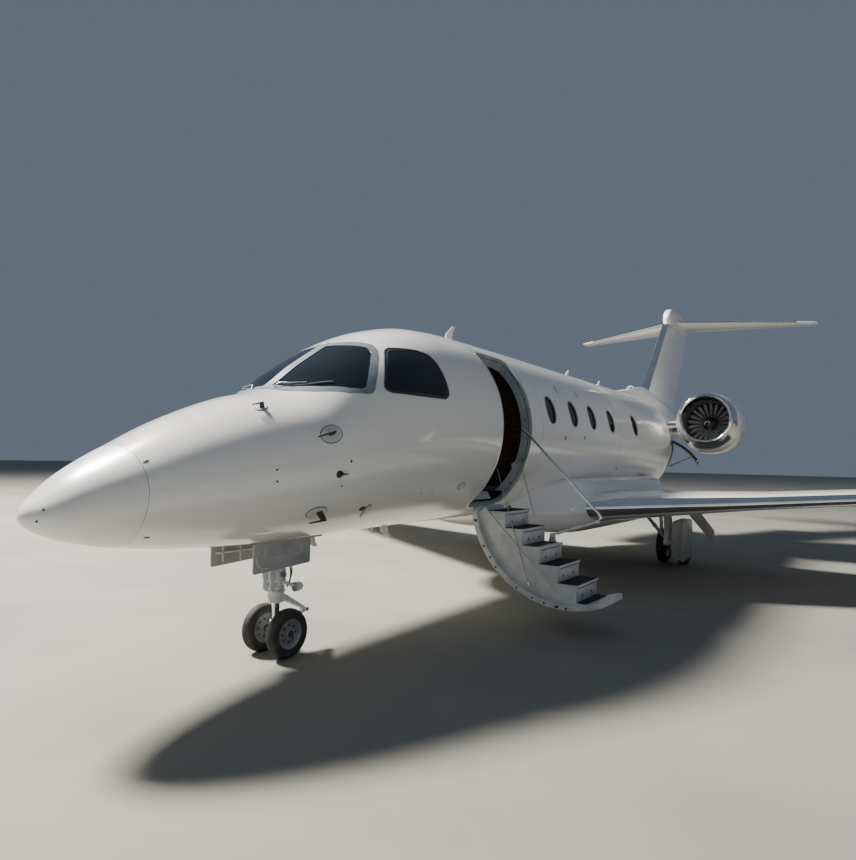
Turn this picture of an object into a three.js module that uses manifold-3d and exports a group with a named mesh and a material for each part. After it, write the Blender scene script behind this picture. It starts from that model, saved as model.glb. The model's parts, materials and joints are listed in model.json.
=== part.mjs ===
import * as THREE from 'three';
import { mergeVertices } from 'three/addons/utils/BufferGeometryUtils.js';
import Module from 'manifold-3d';

// Mid-size twin-engined business jet, parked on its gear with the airstair down.
// Millimetres. +X forward, +Y to port, +Z up, origin on the ground at the middle of the length.
// Most sizes are first given as stations, measured aft from the tip of the nose.

const wasm = await Module();
wasm.setup();

// Driving dimensions
const noseTip = 9845;
const gap = 0.3;
const running = 6;
const wall = 60;
const hull = { radius: 1180, waist: 2300, sides: 24 };
const breaks = { radome: 650, cockpit: 4380, rear: 11900, tail: 17850 };
const floorPlate = { top: 1550, thickness: 50, from: 1760, to: 11830 };
const noseBay = { from: 1790, to: 2620, halfWidth: 272, wall: 12 };
const doorway = { from: 4650, to: 5400, low: -55.5, high: 52, corner: 120, spare: 5, facets: 8 };
const stairHinge = { y: 715, z: 1310, swing: 119 };
const stair = {
  steps: 6, y: 1200, z: 1298, run: 220, rise: 186, depth: 250, plate: 24, from: 4712, to: 5338,
};
const cabinWindow = { stations: [6070, 6860, 7620, 8500, 9800], angle: 15, width: 280, height: 385 };
const bayDoor = { low: -560, high: 130, reach: 400, swing: 62 };
const wheels = {
  nose: { station: 2307, track: 0, half: 172, radius: 229, rim: 142, tyre: 57, axle: 26 },
  main: { station: 10810, track: 1594, half: 182, radius: 330, rim: 205, tyre: 84, axle: 42 },
};
const wheelSides = 20;
const engine = { y: 1917, z: 2790, lip: 11990, lift: 85, liftEnd: 12660, cowl: 12230, tail: 15300, toe: 3 };
const fan = {
  station: 12820, tip: 455, hub: 140, blades: 14, chord: 130, thick: 11, rootTwist: 30, tipTwist: 62,
};

const x = station => noseTip - station;
const paint = { white: 0xf1f2f0, grey: 0x8d9296, steel: 0xb9bcbf, dark: 0x24262a, tyre: 0x17181a };
const group = new THREE.Group();

function finish(color, roughness, metalness) {
  return new THREE.MeshStandardMaterial({ color, roughness, metalness });
}

const finishes = {
  paint: finish(paint.white, 0.25, 0.1),
  polished: finish(paint.steel, 0.12, 1),
  steel: finish(paint.grey, 0.4, 0.8),
  gearPaint: finish(0xdfe1e0, 0.4, 0.2),
  rubber: finish(paint.tyre, 0.85, 0),
  glass: finish(0x15191d, 0.05, 0),
  dark: finish(paint.dark, 0.6, 0.1),
  titanium: finish(0x55585c, 0.35, 0.9),
  leather: finish(0xb9ab97, 0.6, 0),
  trim: finish(0x7c8b99, 0.45, 0.3),
};

// Solids from closed geometries

function solidOf(geometry) {
  const bare = geometry.clone();
  for (const name of Object.keys(bare.attributes)) {
    if (name !== 'position') bare.deleteAttribute(name);
  }
  const merged = mergeVertices(bare, 1e-3);
  const points = merged.attributes.position.array;
  const corners = [];
  let volume = 0;
  const a = new THREE.Vector3();
  const b = new THREE.Vector3();
  const c = new THREE.Vector3();
  for (let i = 0; i < merged.index.count; i += 3) {
    const [i0, i1, i2] = [0, 1, 2].map(k => merged.index.getX(i + k));
    if (i0 === i1 || i1 === i2 || i0 === i2) continue;
    corners.push(i0, i1, i2);
    volume += a.fromArray(points, 3 * i0).dot(b.fromArray(points, 3 * i1).cross(c.fromArray(points, 3 * i2)));
  }
  if (volume < 0) corners.reverse();
  return new wasm.Manifold(new wasm.Mesh({
    numProp: 3,
    vertProperties: Float32Array.from(points),
    triVerts: Uint32Array.from(corners),
  }));
}

const join = (...solids) => solids.reduce((sum, solid) => sum.add(solid));
const cut = (solid, ...tools) => tools.reduce((rest, tool) => rest.subtract(tool), solid);
const common = (...solids) => solids.reduce((both, solid) => both.intersect(solid));
const mirrored = solid => solid.mirror([0, 1, 0]);
const moved = (solid, matrix) => solid.transform(matrix.elements);

function part(name, solid, material) {
  const mesh = solid.getMesh();
  const geometry = new THREE.BufferGeometry();
  const points = new Float32Array(mesh.numVert * 3);
  for (let i = 0; i < mesh.numVert; i++) {
    for (let k = 0; k < 3; k++) points[3 * i + k] = mesh.vertProperties[mesh.numProp * i + k];
  }
  geometry.setAttribute('position', new THREE.BufferAttribute(points, 3));
  geometry.setIndex(new THREE.BufferAttribute(Uint32Array.from(mesh.triVerts), 1));
  geometry.computeVertexNormals();
  const piece = new THREE.Mesh(geometry, material);
  piece.name = name;
  group.add(piece);
}

function pair(name, portSolid, material) {
  part(`${name}_left`, portSolid, material);
  part(`${name}_right`, mirrored(portSolid), material);
}

// A closed skin over rings of equal point counts, with port and starboard facets alike
function loft(rings) {
  const count = rings[0].length;
  const points = rings.flat(2);
  const index = [];
  for (let r = 0; r + 1 < rings.length; r++) {
    for (let k = 0; k < count; k++) {
      const next = (k + 1) % count;
      const [a, b] = [r * count + k, r * count + next];
      const sideways = rings[r][k][1] + rings[r][next][1] + rings[r + 1][k][1] + rings[r + 1][next][1];
      if (sideways < 0) index.push(a, b, a + count, b, b + count, a + count);
      else index.push(a, b, b + count, a, b + count, a + count);
    }
  }
  for (const [ring, turned] of [[0, true], [rings.length - 1, false]]) {
    const middle = points.length / 3;
    const sum = rings[ring].reduce((t, p) => t.map((v, i) => v + p[i] / count), [0, 0, 0]);
    points.push(...sum);
    for (let k = 0; k < count; k++) {
      const [a, b] = [ring * count + k, ring * count + (k + 1) % count];
      index.push(...(turned ? [middle, b, a] : [middle, a, b]));
    }
  }
  const geometry = new THREE.BufferGeometry();
  geometry.setAttribute('position', new THREE.Float32BufferAttribute(points, 3));
  geometry.setIndex(index);
  return solidOf(geometry);
}

function box([x0, x1], [y0, y1], [z0, z1]) {
  const geometry = new THREE.BoxGeometry(Math.abs(x1 - x0), Math.abs(y1 - y0), Math.abs(z1 - z0));
  geometry.translate((x0 + x1) / 2, (y0 + y1) / 2, (z0 + z1) / 2);
  return solidOf(geometry);
}

function rod(from, to, radius, sides = 12, endRadius = radius) {
  const a = new THREE.Vector3(...from);
  const b = new THREE.Vector3(...to);
  const geometry = new THREE.CylinderGeometry(endRadius, radius, a.distanceTo(b), sides);
  const turn = new THREE.Quaternion().setFromUnitVectors(
    new THREE.Vector3(0, 1, 0), b.clone().sub(a).normalize());
  geometry.applyQuaternion(turn);
  geometry.translate(...a.add(b).multiplyScalar(0.5).toArray());
  return solidOf(geometry);
}

// Extruded outlines: [x, z] drawn points pushed along y, and [y, z] points along x
function outlineXZ(points, [y0, y1]) {
  const shape = new THREE.Shape(points.map(p => new THREE.Vector2(...p)));
  const geometry = new THREE.ExtrudeGeometry(shape, { depth: y1 - y0, bevelEnabled: false });
  geometry.applyMatrix4(new THREE.Matrix4().set(1, 0, 0, 0, 0, 0, -1, y1, 0, 1, 0, 0, 0, 0, 0, 1));
  return solidOf(geometry);
}

function outlineYZ(points, [x0, x1]) {
  const shape = new THREE.Shape(points.map(p => new THREE.Vector2(...p)));
  const geometry = new THREE.ExtrudeGeometry(shape, { depth: x1 - x0, bevelEnabled: false });
  geometry.applyMatrix4(new THREE.Matrix4().set(0, 0, 1, x0, 1, 0, 0, 0, 0, 1, 0, 0, 0, 0, 0, 1));
  return solidOf(geometry);
}

// A turned piece about the x direction: [radius, x] profile
function turnedX(profile, sides, [y, z], droop) {
  const points = profile.map(([r, along]) => new THREE.Vector2(r, along));
  const geometry = new THREE.LatheGeometry(points, sides);
  geometry.rotateZ(-Math.PI / 2);
  geometry.translate(0, y, z);
  const at = geometry.attributes.position;
  for (let i = 0; droop && i < at.count; i++) {
    const [dy, dz] = droop(at.getX(i));
    at.setXYZ(i, at.getX(i), at.getY(i) + dy, at.getZ(i) + dz);
  }
  return solidOf(geometry);
}

// A turned piece about the y direction, with a flat facet underneath: [radius, y] profile
function turnedY(profile, [xc, yc, zc]) {
  const points = profile.map(([r, along]) => new THREE.Vector2(r, along));
  const geometry = new THREE.LatheGeometry(points, wheelSides, Math.PI / wheelSides);
  geometry.translate(xc, yc, zc);
  return solidOf(geometry);
}

// Fuselage shape
const shapeRows = [
  // station, crown, keel, half width, waist, shoulder power
  [0, 1446, 1446, 0, 1446, 2],
  [30, 1514, 1393, 108, 1449, 2],
  [100, 1576, 1340, 206, 1458, 2],
  [300, 1740, 1259, 362, 1505, 2],
  [650, 1948, 1181, 541, 1600, 2],
  [1100, 2192, 1125, 702, 1700, 2],
  [1650, 2410, 1096, 852, 1800, 2.05],
  [2030, 2515, 1090, 936, 1870, 2.15],
  [2450, 2812, 1096, 1018, 1960, 2.3],
  [2900, 3092, 1106, 1071, 2050, 2.35],
  [3400, 3312, 1114, 1119, 2150, 2.2],
  [3950, 3436, 1119, 1154, 2230, 2.05],
  [4600, 3477, 1120, 1176, 2285, 2],
  [5200, 3480, 1120, 1180, 2300, 2],
  [11600, 3480, 1120, 1180, 2300, 2],
  [12200, 3478, 1140, 1160, 2308, 2],
  [13000, 3462, 1235, 1030, 2350, 2],
  [14000, 3425, 1465, 830, 2445, 2],
  [15500, 3345, 1925, 570, 2635, 2],
  [16800, 3240, 2380, 340, 2810, 2],
  [17850, 3120, 2790, 160, 2955, 2],
];

// Smooth interpolation that never overshoots its rows, over the root of the station
function monotone(rows, column) {
  const u = rows.map(row => Math.sqrt(row[0]));
  const v = rows.map(row => row[column]);
  const step = u.slice(1).map((value, i) => value - u[i]);
  const slope = step.map((value, i) => (v[i + 1] - v[i]) / value);
  const tangent = u.map((_, i) => {
    if (i === 0) return slope[0];
    if (i === u.length - 1) return slope[i - 1];
    if (slope[i - 1] * slope[i] <= 0) return 0;
    const [w0, w1] = [2 * step[i] + step[i - 1], step[i] + 2 * step[i - 1]];
    return (w0 + w1) / (w0 / slope[i - 1] + w1 / slope[i]);
  });
  return station => {
    const at = Math.sqrt(Math.max(station, 0));
    let i = 0;
    while (i < u.length - 2 && at > u[i + 1]) i++;
    const t = (at - u[i]) / step[i];
    const [t2, t3] = [t * t, t * t * t];
    return v[i] * (2 * t3 - 3 * t2 + 1) + v[i + 1] * (3 * t2 - 2 * t3)
      + step[i] * (tangent[i] * (t3 - 2 * t2 + t) + tangent[i + 1] * (t3 - t2));
  };
}

const [crown, keel, halfWidth, waist, shoulder] = [1, 2, 3, 4, 5].map(column => monotone(shapeRows, column));

function hullPoint(station, angle, inset = 0) {
  const [c, s] = [Math.cos(angle), Math.sin(angle)];
  const power = s > 0 ? 2 / shoulder(station) : 1;
  const bend = value => Math.sign(value) * Math.abs(value) ** power;
  const height = s > 0 ? crown(station) - waist(station) : waist(station) - keel(station);
  const y = Math.max(halfWidth(station) - inset, 1) * bend(c);
  return [x(station), y, waist(station) + Math.max(height - inset, 1) * bend(s)];
}

function hullRing(station, inset, sides = hull.sides) {
  return Array.from({ length: sides }, (_, k) => hullPoint(station, 2 * Math.PI * k / sides, inset));
}

function hullLoft(stations, inset = 0) {
  return loft(stations.map(station => hullRing(station, inset)));
}

const noseStations = [0, 30, 110, 300];
const frontStations = [1100, 1600, 2030, 2300, 2600, 2900, 3300, 3800];
const rearStations = [12200, 13000, 13700, 14600, 16000, 17000];

const cavityStations = [1100, 2030, 2600, 3300, breaks.cockpit, 5200, 11600];
const rearCavityStations = [12200, 13700, 16000];
const skinStations = [breaks.radome, ...frontStations, breaks.cockpit, 5200, 11600, breaks.rear,
  ...rearStations, breaks.tail];
const cavity = hullLoft([breaks.radome + wall, ...cavityStations, breaks.rear + 10], wall);
const inside = hullLoft([breaks.radome + wall + 2, ...cavityStations, breaks.rear - 1], wall + gap);
const rearCavity = hullLoft([breaks.rear + wall, ...rearCavityStations, breaks.tail - wall], wall);
const skirt = hullLoft(skinStations, -gap);

// A sector of a ring about the cabin's axis, pushed along x
function sector([from, to], [low, high], [inner, outer], centre = [0, hull.waist], steps = 8) {
  const arc = (radius, order) => Array.from({ length: steps + 1 }, (_, i) => {
    const t = order > 0 ? i : steps - i;
    const angle = THREE.MathUtils.degToRad(low + (high - low) * t / steps);
    return [centre[0] + radius * Math.cos(angle), centre[1] + radius * Math.sin(angle)];
  });
  return outlineYZ([...arc(outer, 1), ...arc(inner, -1)], [x(to), x(from)]);
}

// A closed outline, rounded at its sharper corners, pushed both ways along its own normal
const softBend = 28;

function pane(corners, rounding, [inward, outward], inset = 0) {
  const points = corners.map(([s, y, z]) => new THREE.Vector3(x(s), y, z));
  const centre = points.reduce((sum, p) => sum.add(p), new THREE.Vector3()).divideScalar(points.length);
  const normal = new THREE.Vector3();
  points.forEach((p, i) => {
    const next = points[(i + 1) % points.length];
    normal.add(p.clone().sub(centre).cross(next.clone().sub(centre)));
  });
  normal.normalize();
  const right = points[1].clone().sub(points[0]).projectOnPlane(normal).normalize();
  const up = normal.clone().cross(right);
  const flat = points.map(p => {
    const offset = p.clone().sub(centre);
    return new THREE.Vector2(offset.dot(right), offset.dot(up));
  });
  const shrunk = flat.map(p => p.clone().multiplyScalar(1 - inset / p.length()));
  const shape = new THREE.Shape();
  shrunk.forEach((p, i) => {
    const before = shrunk[(i + shrunk.length - 1) % shrunk.length].clone().sub(p);
    const after = shrunk[(i + 1) % shrunk.length].clone().sub(p);
    const bend = 180 - THREE.MathUtils.radToDeg(before.angleTo(after));
    const cutBack = bend < softBend ? 0 : Math.min(rounding, 0.45 * before.length(), 0.45 * after.length());
    const start = p.clone().add(before.setLength(cutBack));
    const end = p.clone().add(after.setLength(cutBack));
    if (i === 0) shape.moveTo(start.x, start.y);
    else shape.lineTo(start.x, start.y);
    if (cutBack > 0) shape.quadraticCurveTo(p.x, p.y, end.x, end.y);
  });
  shape.closePath();
  const geometry = new THREE.ExtrudeGeometry(shape, {
    depth: inward + outward, bevelEnabled: false, curveSegments: 2 });
  const matrix = new THREE.Matrix4().makeBasis(right, up, normal);
  matrix.setPosition(centre.clone().addScaledVector(normal, -inward));
  geometry.applyMatrix4(matrix);
  return solidOf(geometry);
}

// A tall oval pushed out from the cabin's axis at the window line's angle
function oval(station, width, height, [from, to], sides = 12) {
  const points = Array.from({ length: sides }, (_, k) => {
    const angle = 2 * Math.PI * (k + 0.5) / sides;
    const bend = value => Math.sign(value) * Math.abs(value) ** 0.85;
    return [x(station) + width / 2 * bend(Math.cos(angle)), height / 2 * bend(Math.sin(angle))];
  });
  return outlineXZ(points, [from, to]).rotate([cabinWindow.angle, 0, 0]).translate([0, 0, hull.waist]);
}

// Cockpit glazing corners on the port side
const windscreen = [
  // station, y, z
  [2034, 22, 2520], [2024, 333, 2493], [2176, 605, 2483], [2383, 820, 2481], [2556, 911, 2478],
  [2620, 917, 2510], [2738, 843, 2686], [2891, 728, 2882], [2967, 653, 2972], [3008, 550, 3047],
  [2985, 435, 3079], [2927, 209, 3096], [2905, 22, 3094],
];
const sideWindow = [
  // station, y, z
  [2814, 980, 2512], [3107, 1041, 2509], [3347, 1074, 2510], [3561, 1095, 2515], [3634, 1087, 2571],
  [3641, 1059, 2661], [3639, 993, 2807], [3621, 918, 2926], [3574, 839, 3014], [3443, 781, 3044],
  [3238, 717, 3040], [3092, 659, 3025], [3022, 672, 2980], [2896, 790, 2832], [2735, 925, 2580],
  [2737, 948, 2532],
];
const glazing = { depth: [420, 420], sideDepth: [260, 320], rounding: 60, seat: 8, thickness: 22, fit: 1.5 };

function cockpitPanes(inset) {
  return [
    pane(windscreen, glazing.rounding, glazing.depth, inset),
    pane(sideWindow, glazing.rounding, glazing.sideDepth, inset),
  ];
}

const frontSpan = [breaks.radome, ...frontStations, breaks.cockpit];
const glassSeat = hullLoft(frontSpan, glazing.seat);
const glassLayer = cut(glassSeat, hullLoft(frontSpan, glazing.seat + glazing.thickness));

function makeFuselage() {
  part('radome', hullLoft([...noseStations, breaks.radome - gap / 2]), finishes.paint);

  const front = cut(hullLoft([breaks.radome + gap / 2, ...frontStations, breaks.cockpit - gap / 2]), cavity);
  const panes = cockpitPanes(0);
  const bay = box([x(noseBay.to), x(noseBay.from)], [-noseBay.halfWidth, noseBay.halfWidth], [900, 1400]);
  part('fuselage_front', cut(front, ...panes, ...panes.map(mirrored), bay), finishes.paint);
  const [screen, side] = cockpitPanes(glazing.fit);
  pair('windscreen', common(glassLayer, screen), finishes.glass);
  pair('side_window', common(glassLayer, side), finishes.glass);

  const cabin = cut(hullLoft([breaks.cockpit + gap / 2, 5200, 11600, breaks.rear - gap / 2]), cavity);
  const openings = cabinWindow.stations.map(station =>
    oval(station, cabinWindow.width, cabinWindow.height, [900, 1300]));
  part('fuselage_cabin', join(cut(cabin, ...openings, ...openings.map(mirrored), doorCut(0)), ...hingeLugs()),
    finishes.paint);

  const rear = cut(hullLoft([breaks.rear + gap / 2, ...rearStations, breaks.tail - gap / 2]), rearCavity);
  part('fuselage_rear', join(cut(rear, bayDoorCut(0)), ...bayLugs()), finishes.paint);

  pair('cabin_windows', cabinPanes(), finishes.glass);
}

// Panes in the cabin windows, carried by a strip inside the wall
function cabinPanes() {
  const inner = (hull.radius - wall) * Math.cos(Math.PI / hull.sides);
  const strip = sector([cabinWindow.stations[0] - 260, cabinWindow.stations.at(-1) + 260], [3, 27],
    [inner - 12, inner - gap], [0, hull.waist], 4);
  const panes = cabinWindow.stations.map(station =>
    oval(station, cabinWindow.width - 2, cabinWindow.height - 2, [inner - 16, hull.radius - 34]));
  return join(strip, ...panes);
}

// Airstair: a sector of the cabin wall that swings down about its lower edge
function doorCut(inset) {
  const wedge = sector([doorway.from + inset, doorway.to - inset],
    [doorway.low + inset * 0.06, doorway.high - inset * 0.1], [900, 1500]);
  const low = hull.waist + hull.radius * Math.sin(THREE.MathUtils.degToRad(doorway.low)) - 60;
  const high = hull.waist + hull.radius * Math.sin(THREE.MathUtils.degToRad(doorway.high)) - inset;
  const [x0, x1, r] = [x(doorway.to - inset), x(doorway.from + inset), doorway.corner];
  const outline = [[x0, low], [x1, low], [x1, high - r], [x1 - 0.29 * r, high - 0.29 * r], [x1 - r, high],
    [x0 + r, high], [x0 + 0.29 * r, high - 0.29 * r], [x0, high - r]];
  return common(wedge, outlineXZ(outline, [200, 1500]));
}

const hingeBlocks = { stations: [4790, 5025, 5260], lug: 26, barrel: 60, radius: 24 };

function hingeLugs() {
  const { y, z } = stairHinge;
  const closedDoor = sector([doorway.from, doorway.to], [doorway.low - 0.3, 0],
    [hull.radius - wall - running, hull.radius + running]);
  return hingeBlocks.stations.flatMap(station => [-1, 1].map(side => {
    const inner = station + side * (hingeBlocks.barrel / 2 + gap);
    const outer = inner + side * hingeBlocks.lug;
    const outline = [[y - 95, z + 52], [y - 60, z - 30], [y, z - 22], [y + 20, z - 8], [y + 20, z + 10],
      [y + 4, z + 22], [y - 40, z + 46]];
    return cut(outlineYZ(outline, [x(Math.max(inner, outer)), x(Math.min(inner, outer))]), closedDoor);
  }));
}

const cosd = degrees => Math.cos(THREE.MathUtils.degToRad(degrees));
const sind = degrees => Math.sin(THREE.MathUtils.degToRad(degrees));

function swungOpen(solid) {
  const { y, z, swing } = stairHinge;
  return solid.translate([0, -y, -z]).rotate([-swing, 0, 0]).translate([0, y, z]);
}

function openPoint(radius, angle) {
  const [dy, dz] = [radius * cosd(angle) - stairHinge.y, hull.waist + radius * sind(angle) - stairHinge.z];
  const [c, s] = [cosd(-stairHinge.swing), sind(-stairHinge.swing)];
  return [stairHinge.y + dy * c - dz * s, stairHinge.z + dy * s + dz * c];
}

function makeAirstair() {
  const skin = sector([doorway.from, doorway.to], [doorway.low - doorway.spare, doorway.high + doorway.spare],
    [hull.radius - wall, hull.radius], [0, hull.waist], doorway.facets);
  const panel = swungOpen(common(skin, doorCut(running)));
  const { y, z } = stairHinge;
  const edge = openPoint(hull.radius - wall / 2, doorway.low + 2);
  const knuckles = hingeBlocks.stations.map(station => {
    const ends = [x(station + hingeBlocks.barrel / 2), x(station - hingeBlocks.barrel / 2)];
    const outline = [[y - 6, z + 16], [y - 6, z - 16], [edge[0], edge[1] - 34], [edge[0] + 8, edge[1] + 10]];
    const arm = outlineYZ(outline, ends);
    return join(arm, rod([ends[0], y, z], [ends[1], y, z], hingeBlocks.radius, 16));
  });
  part('airstair_door', join(panel, ...knuckles), finishes.paint);
  part('airstair_steps', makeSteps(), finishes.trim);
  part('handrail', makeHandrail(), finishes.polished);
  part('handrail_strut', makeRailStrut(), finishes.gearPaint);
}

// Side plates that follow the inside of the panel, with a tread and riser for each step
function makeSteps() {
  const liner = hull.radius - wall - gap;
  const arcPoints = Array.from({ length: 12 }, (_, i) => openPoint(liner, doorway.low + 4 + i * 8.55));
  const stepped = [];
  for (let k = stair.steps - 1; k >= 0; k--) {
    const [nosing, top] = [stair.y + k * stair.run, stair.z - k * stair.rise];
    if (k < stair.steps - 1) stepped.push([nosing - 20, top - stair.rise - 10], [nosing - 20, top - 10]);
    stepped.push([nosing - stair.run - 20, top - 10]);
  }
  stepped.push([stair.y - stair.run - 60, stair.z + 40]);
  const outline = [...arcPoints, ...stepped];
  const [from, to] = [stair.from, stair.to];
  const sides = [[from, from + 26], [to - 26, to]].map(([a, b]) => outlineYZ(outline, [x(b), x(a)]));
  const treads = Array.from({ length: stair.steps }, (_, k) => {
    const [nosing, top] = [stair.y + k * stair.run, stair.z - k * stair.rise];
    return box([x(to), x(from)], [nosing - stair.depth, nosing], [top - stair.plate, top]);
  });
  const risers = Array.from({ length: stair.steps - 1 }, (_, k) => {
    const [nosing, top] = [stair.y + k * stair.run, stair.z - k * stair.rise];
    return box([x(to), x(from)], [nosing - 34, nosing - 18], [top - stair.rise, top - 2]);
  });
  const facet = (doorway.high - doorway.low + 2 * doorway.spare) / doorway.facets;
  const [footY, footZ] = rail.foot;
  const bracket = outlineYZ([[footY - 50, footZ - 100], [footY + 50, footZ - 100], [footY + 24, footZ + 22],
    [footY - 24, footZ + 22]], [x(to), x(rail.split + gap)]);
  const keepIn = outlineYZ(Array.from({ length: Math.floor(360 / facet) + 1 }, (_, k) =>
    openPoint(liner, doorway.low - doorway.spare + k * facet)), [x(to + 1), x(from - 1)]);
  const relief = box([x(strutRelief.to), x(strutRelief.from)], strutRelief.y, strutRelief.z);
  return common(cut(join(...sides, ...treads, ...risers, bracket), relief), keepIn);
}

// Handrail on the aft side plate, swept along one rounded route
function sweptTube(points, radius, bend, sides = 8, steps = 26) {
  const corners = points.map(p => new THREE.Vector3(...p));
  const path = new THREE.CurvePath();
  let last = corners[0];
  corners.slice(1, -1).forEach((corner, i) => {
    const back = last.clone().sub(corner);
    const ahead = corners[i + 2].clone().sub(corner);
    const reach = Math.min(bend, back.length() * 0.45, ahead.length() * 0.45);
    const [start, end] = [back, ahead].map(v => corner.clone().add(v.setLength(reach)));
    path.add(new THREE.LineCurve3(last, start));
    path.add(new THREE.QuadraticBezierCurve3(start, corner, end));
    last = end;
  });
  path.add(new THREE.LineCurve3(last, corners.at(-1)));
  const section = new THREE.Shape(Array.from({ length: sides }, (_, k) =>
    new THREE.Vector2(radius * cosd(360 * k / sides), radius * sind(360 * k / sides))));
  return solidOf(new THREE.ExtrudeGeometry(section, { extrudePath: path, steps, bevelEnabled: false }));
}

// The rail folds onto the treads: its strut turns at the foot, and the rail turns at the strut's outer end
const rail = {
  tube: 15, strut: 12, eye: 21, station: 5294, eyeFrom: 5281, split: 5307, eyeTo: 5337, bend: 60,
  foot: [1510, 1005], joint: [2080, 1205],
};
const railRoute = [
  // station, y, z
  [5310, 1080, 2310], [5322, 1170, 2240], [5323, 2120, 1262], [5323, 2080, 1205],
];

const railSlot = { from: 5278, to: 5354, inner: 160 };
const strutRelief = { from: 5270, to: 5312, y: [1585, 1645], z: [870, 930] };

function railEye([y, z], [from, to]) {
  return rod([x(from), y, z], [x(to), y, z], rail.eye, 12);
}

function makeHandrail() {
  return join(sweptTube(railRoute.map(([s, y, z]) => [x(s), y, z]), rail.tube, rail.bend, 6, 30),
    railEye(rail.joint, [rail.split + gap, rail.eyeTo]));
}

function makeRailStrut() {
  const ends = [rail.foot, rail.joint].map(([y, z]) => [x(rail.station), y, z]);
  const eyes = [rail.foot, rail.joint].map(at => railEye(at, [rail.eyeFrom, rail.split]));
  return join(rod(...ends, rail.strut, 8), ...eyes);
}

// Baggage door under the port engine, hinged along its upper edge
const bayHinge = {
  from: [12720, 1078, 2452], to: [13560, 930, 2452], knuckles: [150, 700],
  barrel: 60, radius: 10, lug: 20, skin: 45,
};

function bayDoorCut(inset) {
  const { from: a, to: b } = bayHinge;
  const length = Math.hypot(b[0] - a[0], b[1] - a[1]);
  const [low, high] = [hull.waist + bayDoor.low + inset - a[2], hull.waist + bayDoor.high - inset - a[2]];
  const { reach } = bayDoor;
  return onBayHinge([[-reach, low], [reach, low], [reach, high], [-reach, high]], [inset, length - inset]);
}

// Places a piece drawn in the hinge's own frame: x along the hinge, y inward, z up
function onBayHinge(outline, [from, to]) {
  const a = new THREE.Vector3(x(bayHinge.from[0]), bayHinge.from[1], bayHinge.from[2]);
  const along = new THREE.Vector3(x(bayHinge.to[0]), bayHinge.to[1], bayHinge.to[2]).sub(a).normalize();
  const up = new THREE.Vector3(0, 0, 1);
  const frame = new THREE.Matrix4().makeBasis(along, up.clone().cross(along), up).setPosition(a);
  return moved(outlineYZ(outline.map(([out, high]) => [-out, high]), [from, to]), frame);
}

function bayLugs() {
  const outline = [[10, -8], [10, 8], [0, 12], [-34, 50], [-34, -12], [0, -12]];
  const { knuckles, barrel, lug } = bayHinge;
  return knuckles.flatMap(at => [-1, 1].map(side => {
    const [inner, outer] = [at + side * (barrel / 2 + gap), at + side * (barrel / 2 + lug)];
    return onBayHinge(outline, [Math.min(inner, outer), Math.max(inner, outer)]);
  }));
}

function makeBayDoor() {
  const { from: a, to: b, knuckles, barrel, radius, skin } = bayHinge;
  const from = new THREE.Vector3(x(a[0]), a[1], a[2]);
  const axis = new THREE.Vector3(x(b[0]), b[1], b[2]).sub(from).normalize();
  const span = skinStations.filter(station => station >= 12000 && station <= 14000);
  const panel = common(cut(hullLoft(span), hullLoft(span, skin)), bayDoorCut(running));
  const strap = [[6, 4], [6, -80], [-34, -80], [-34, -38], [-9, -34], [-9, 4]];
  const round = Array.from({ length: 10 }, (_, k) => [radius * cosd(36 * k), radius * sind(36 * k)]);
  const straps = knuckles.flatMap(at => [strap, round].map(outline =>
    onBayHinge(outline, [at - barrel / 2, at + barrel / 2])));
  const matrix = new THREE.Matrix4().makeTranslation(...from.toArray())
    .multiply(new THREE.Matrix4().makeRotationAxis(axis, THREE.MathUtils.degToRad(-bayDoor.swing)))
    .multiply(new THREE.Matrix4().makeTranslation(...from.clone().negate().toArray()));
  part('baggage_door', moved(join(panel, ...straps), matrix), finishes.paint);
}

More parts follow.
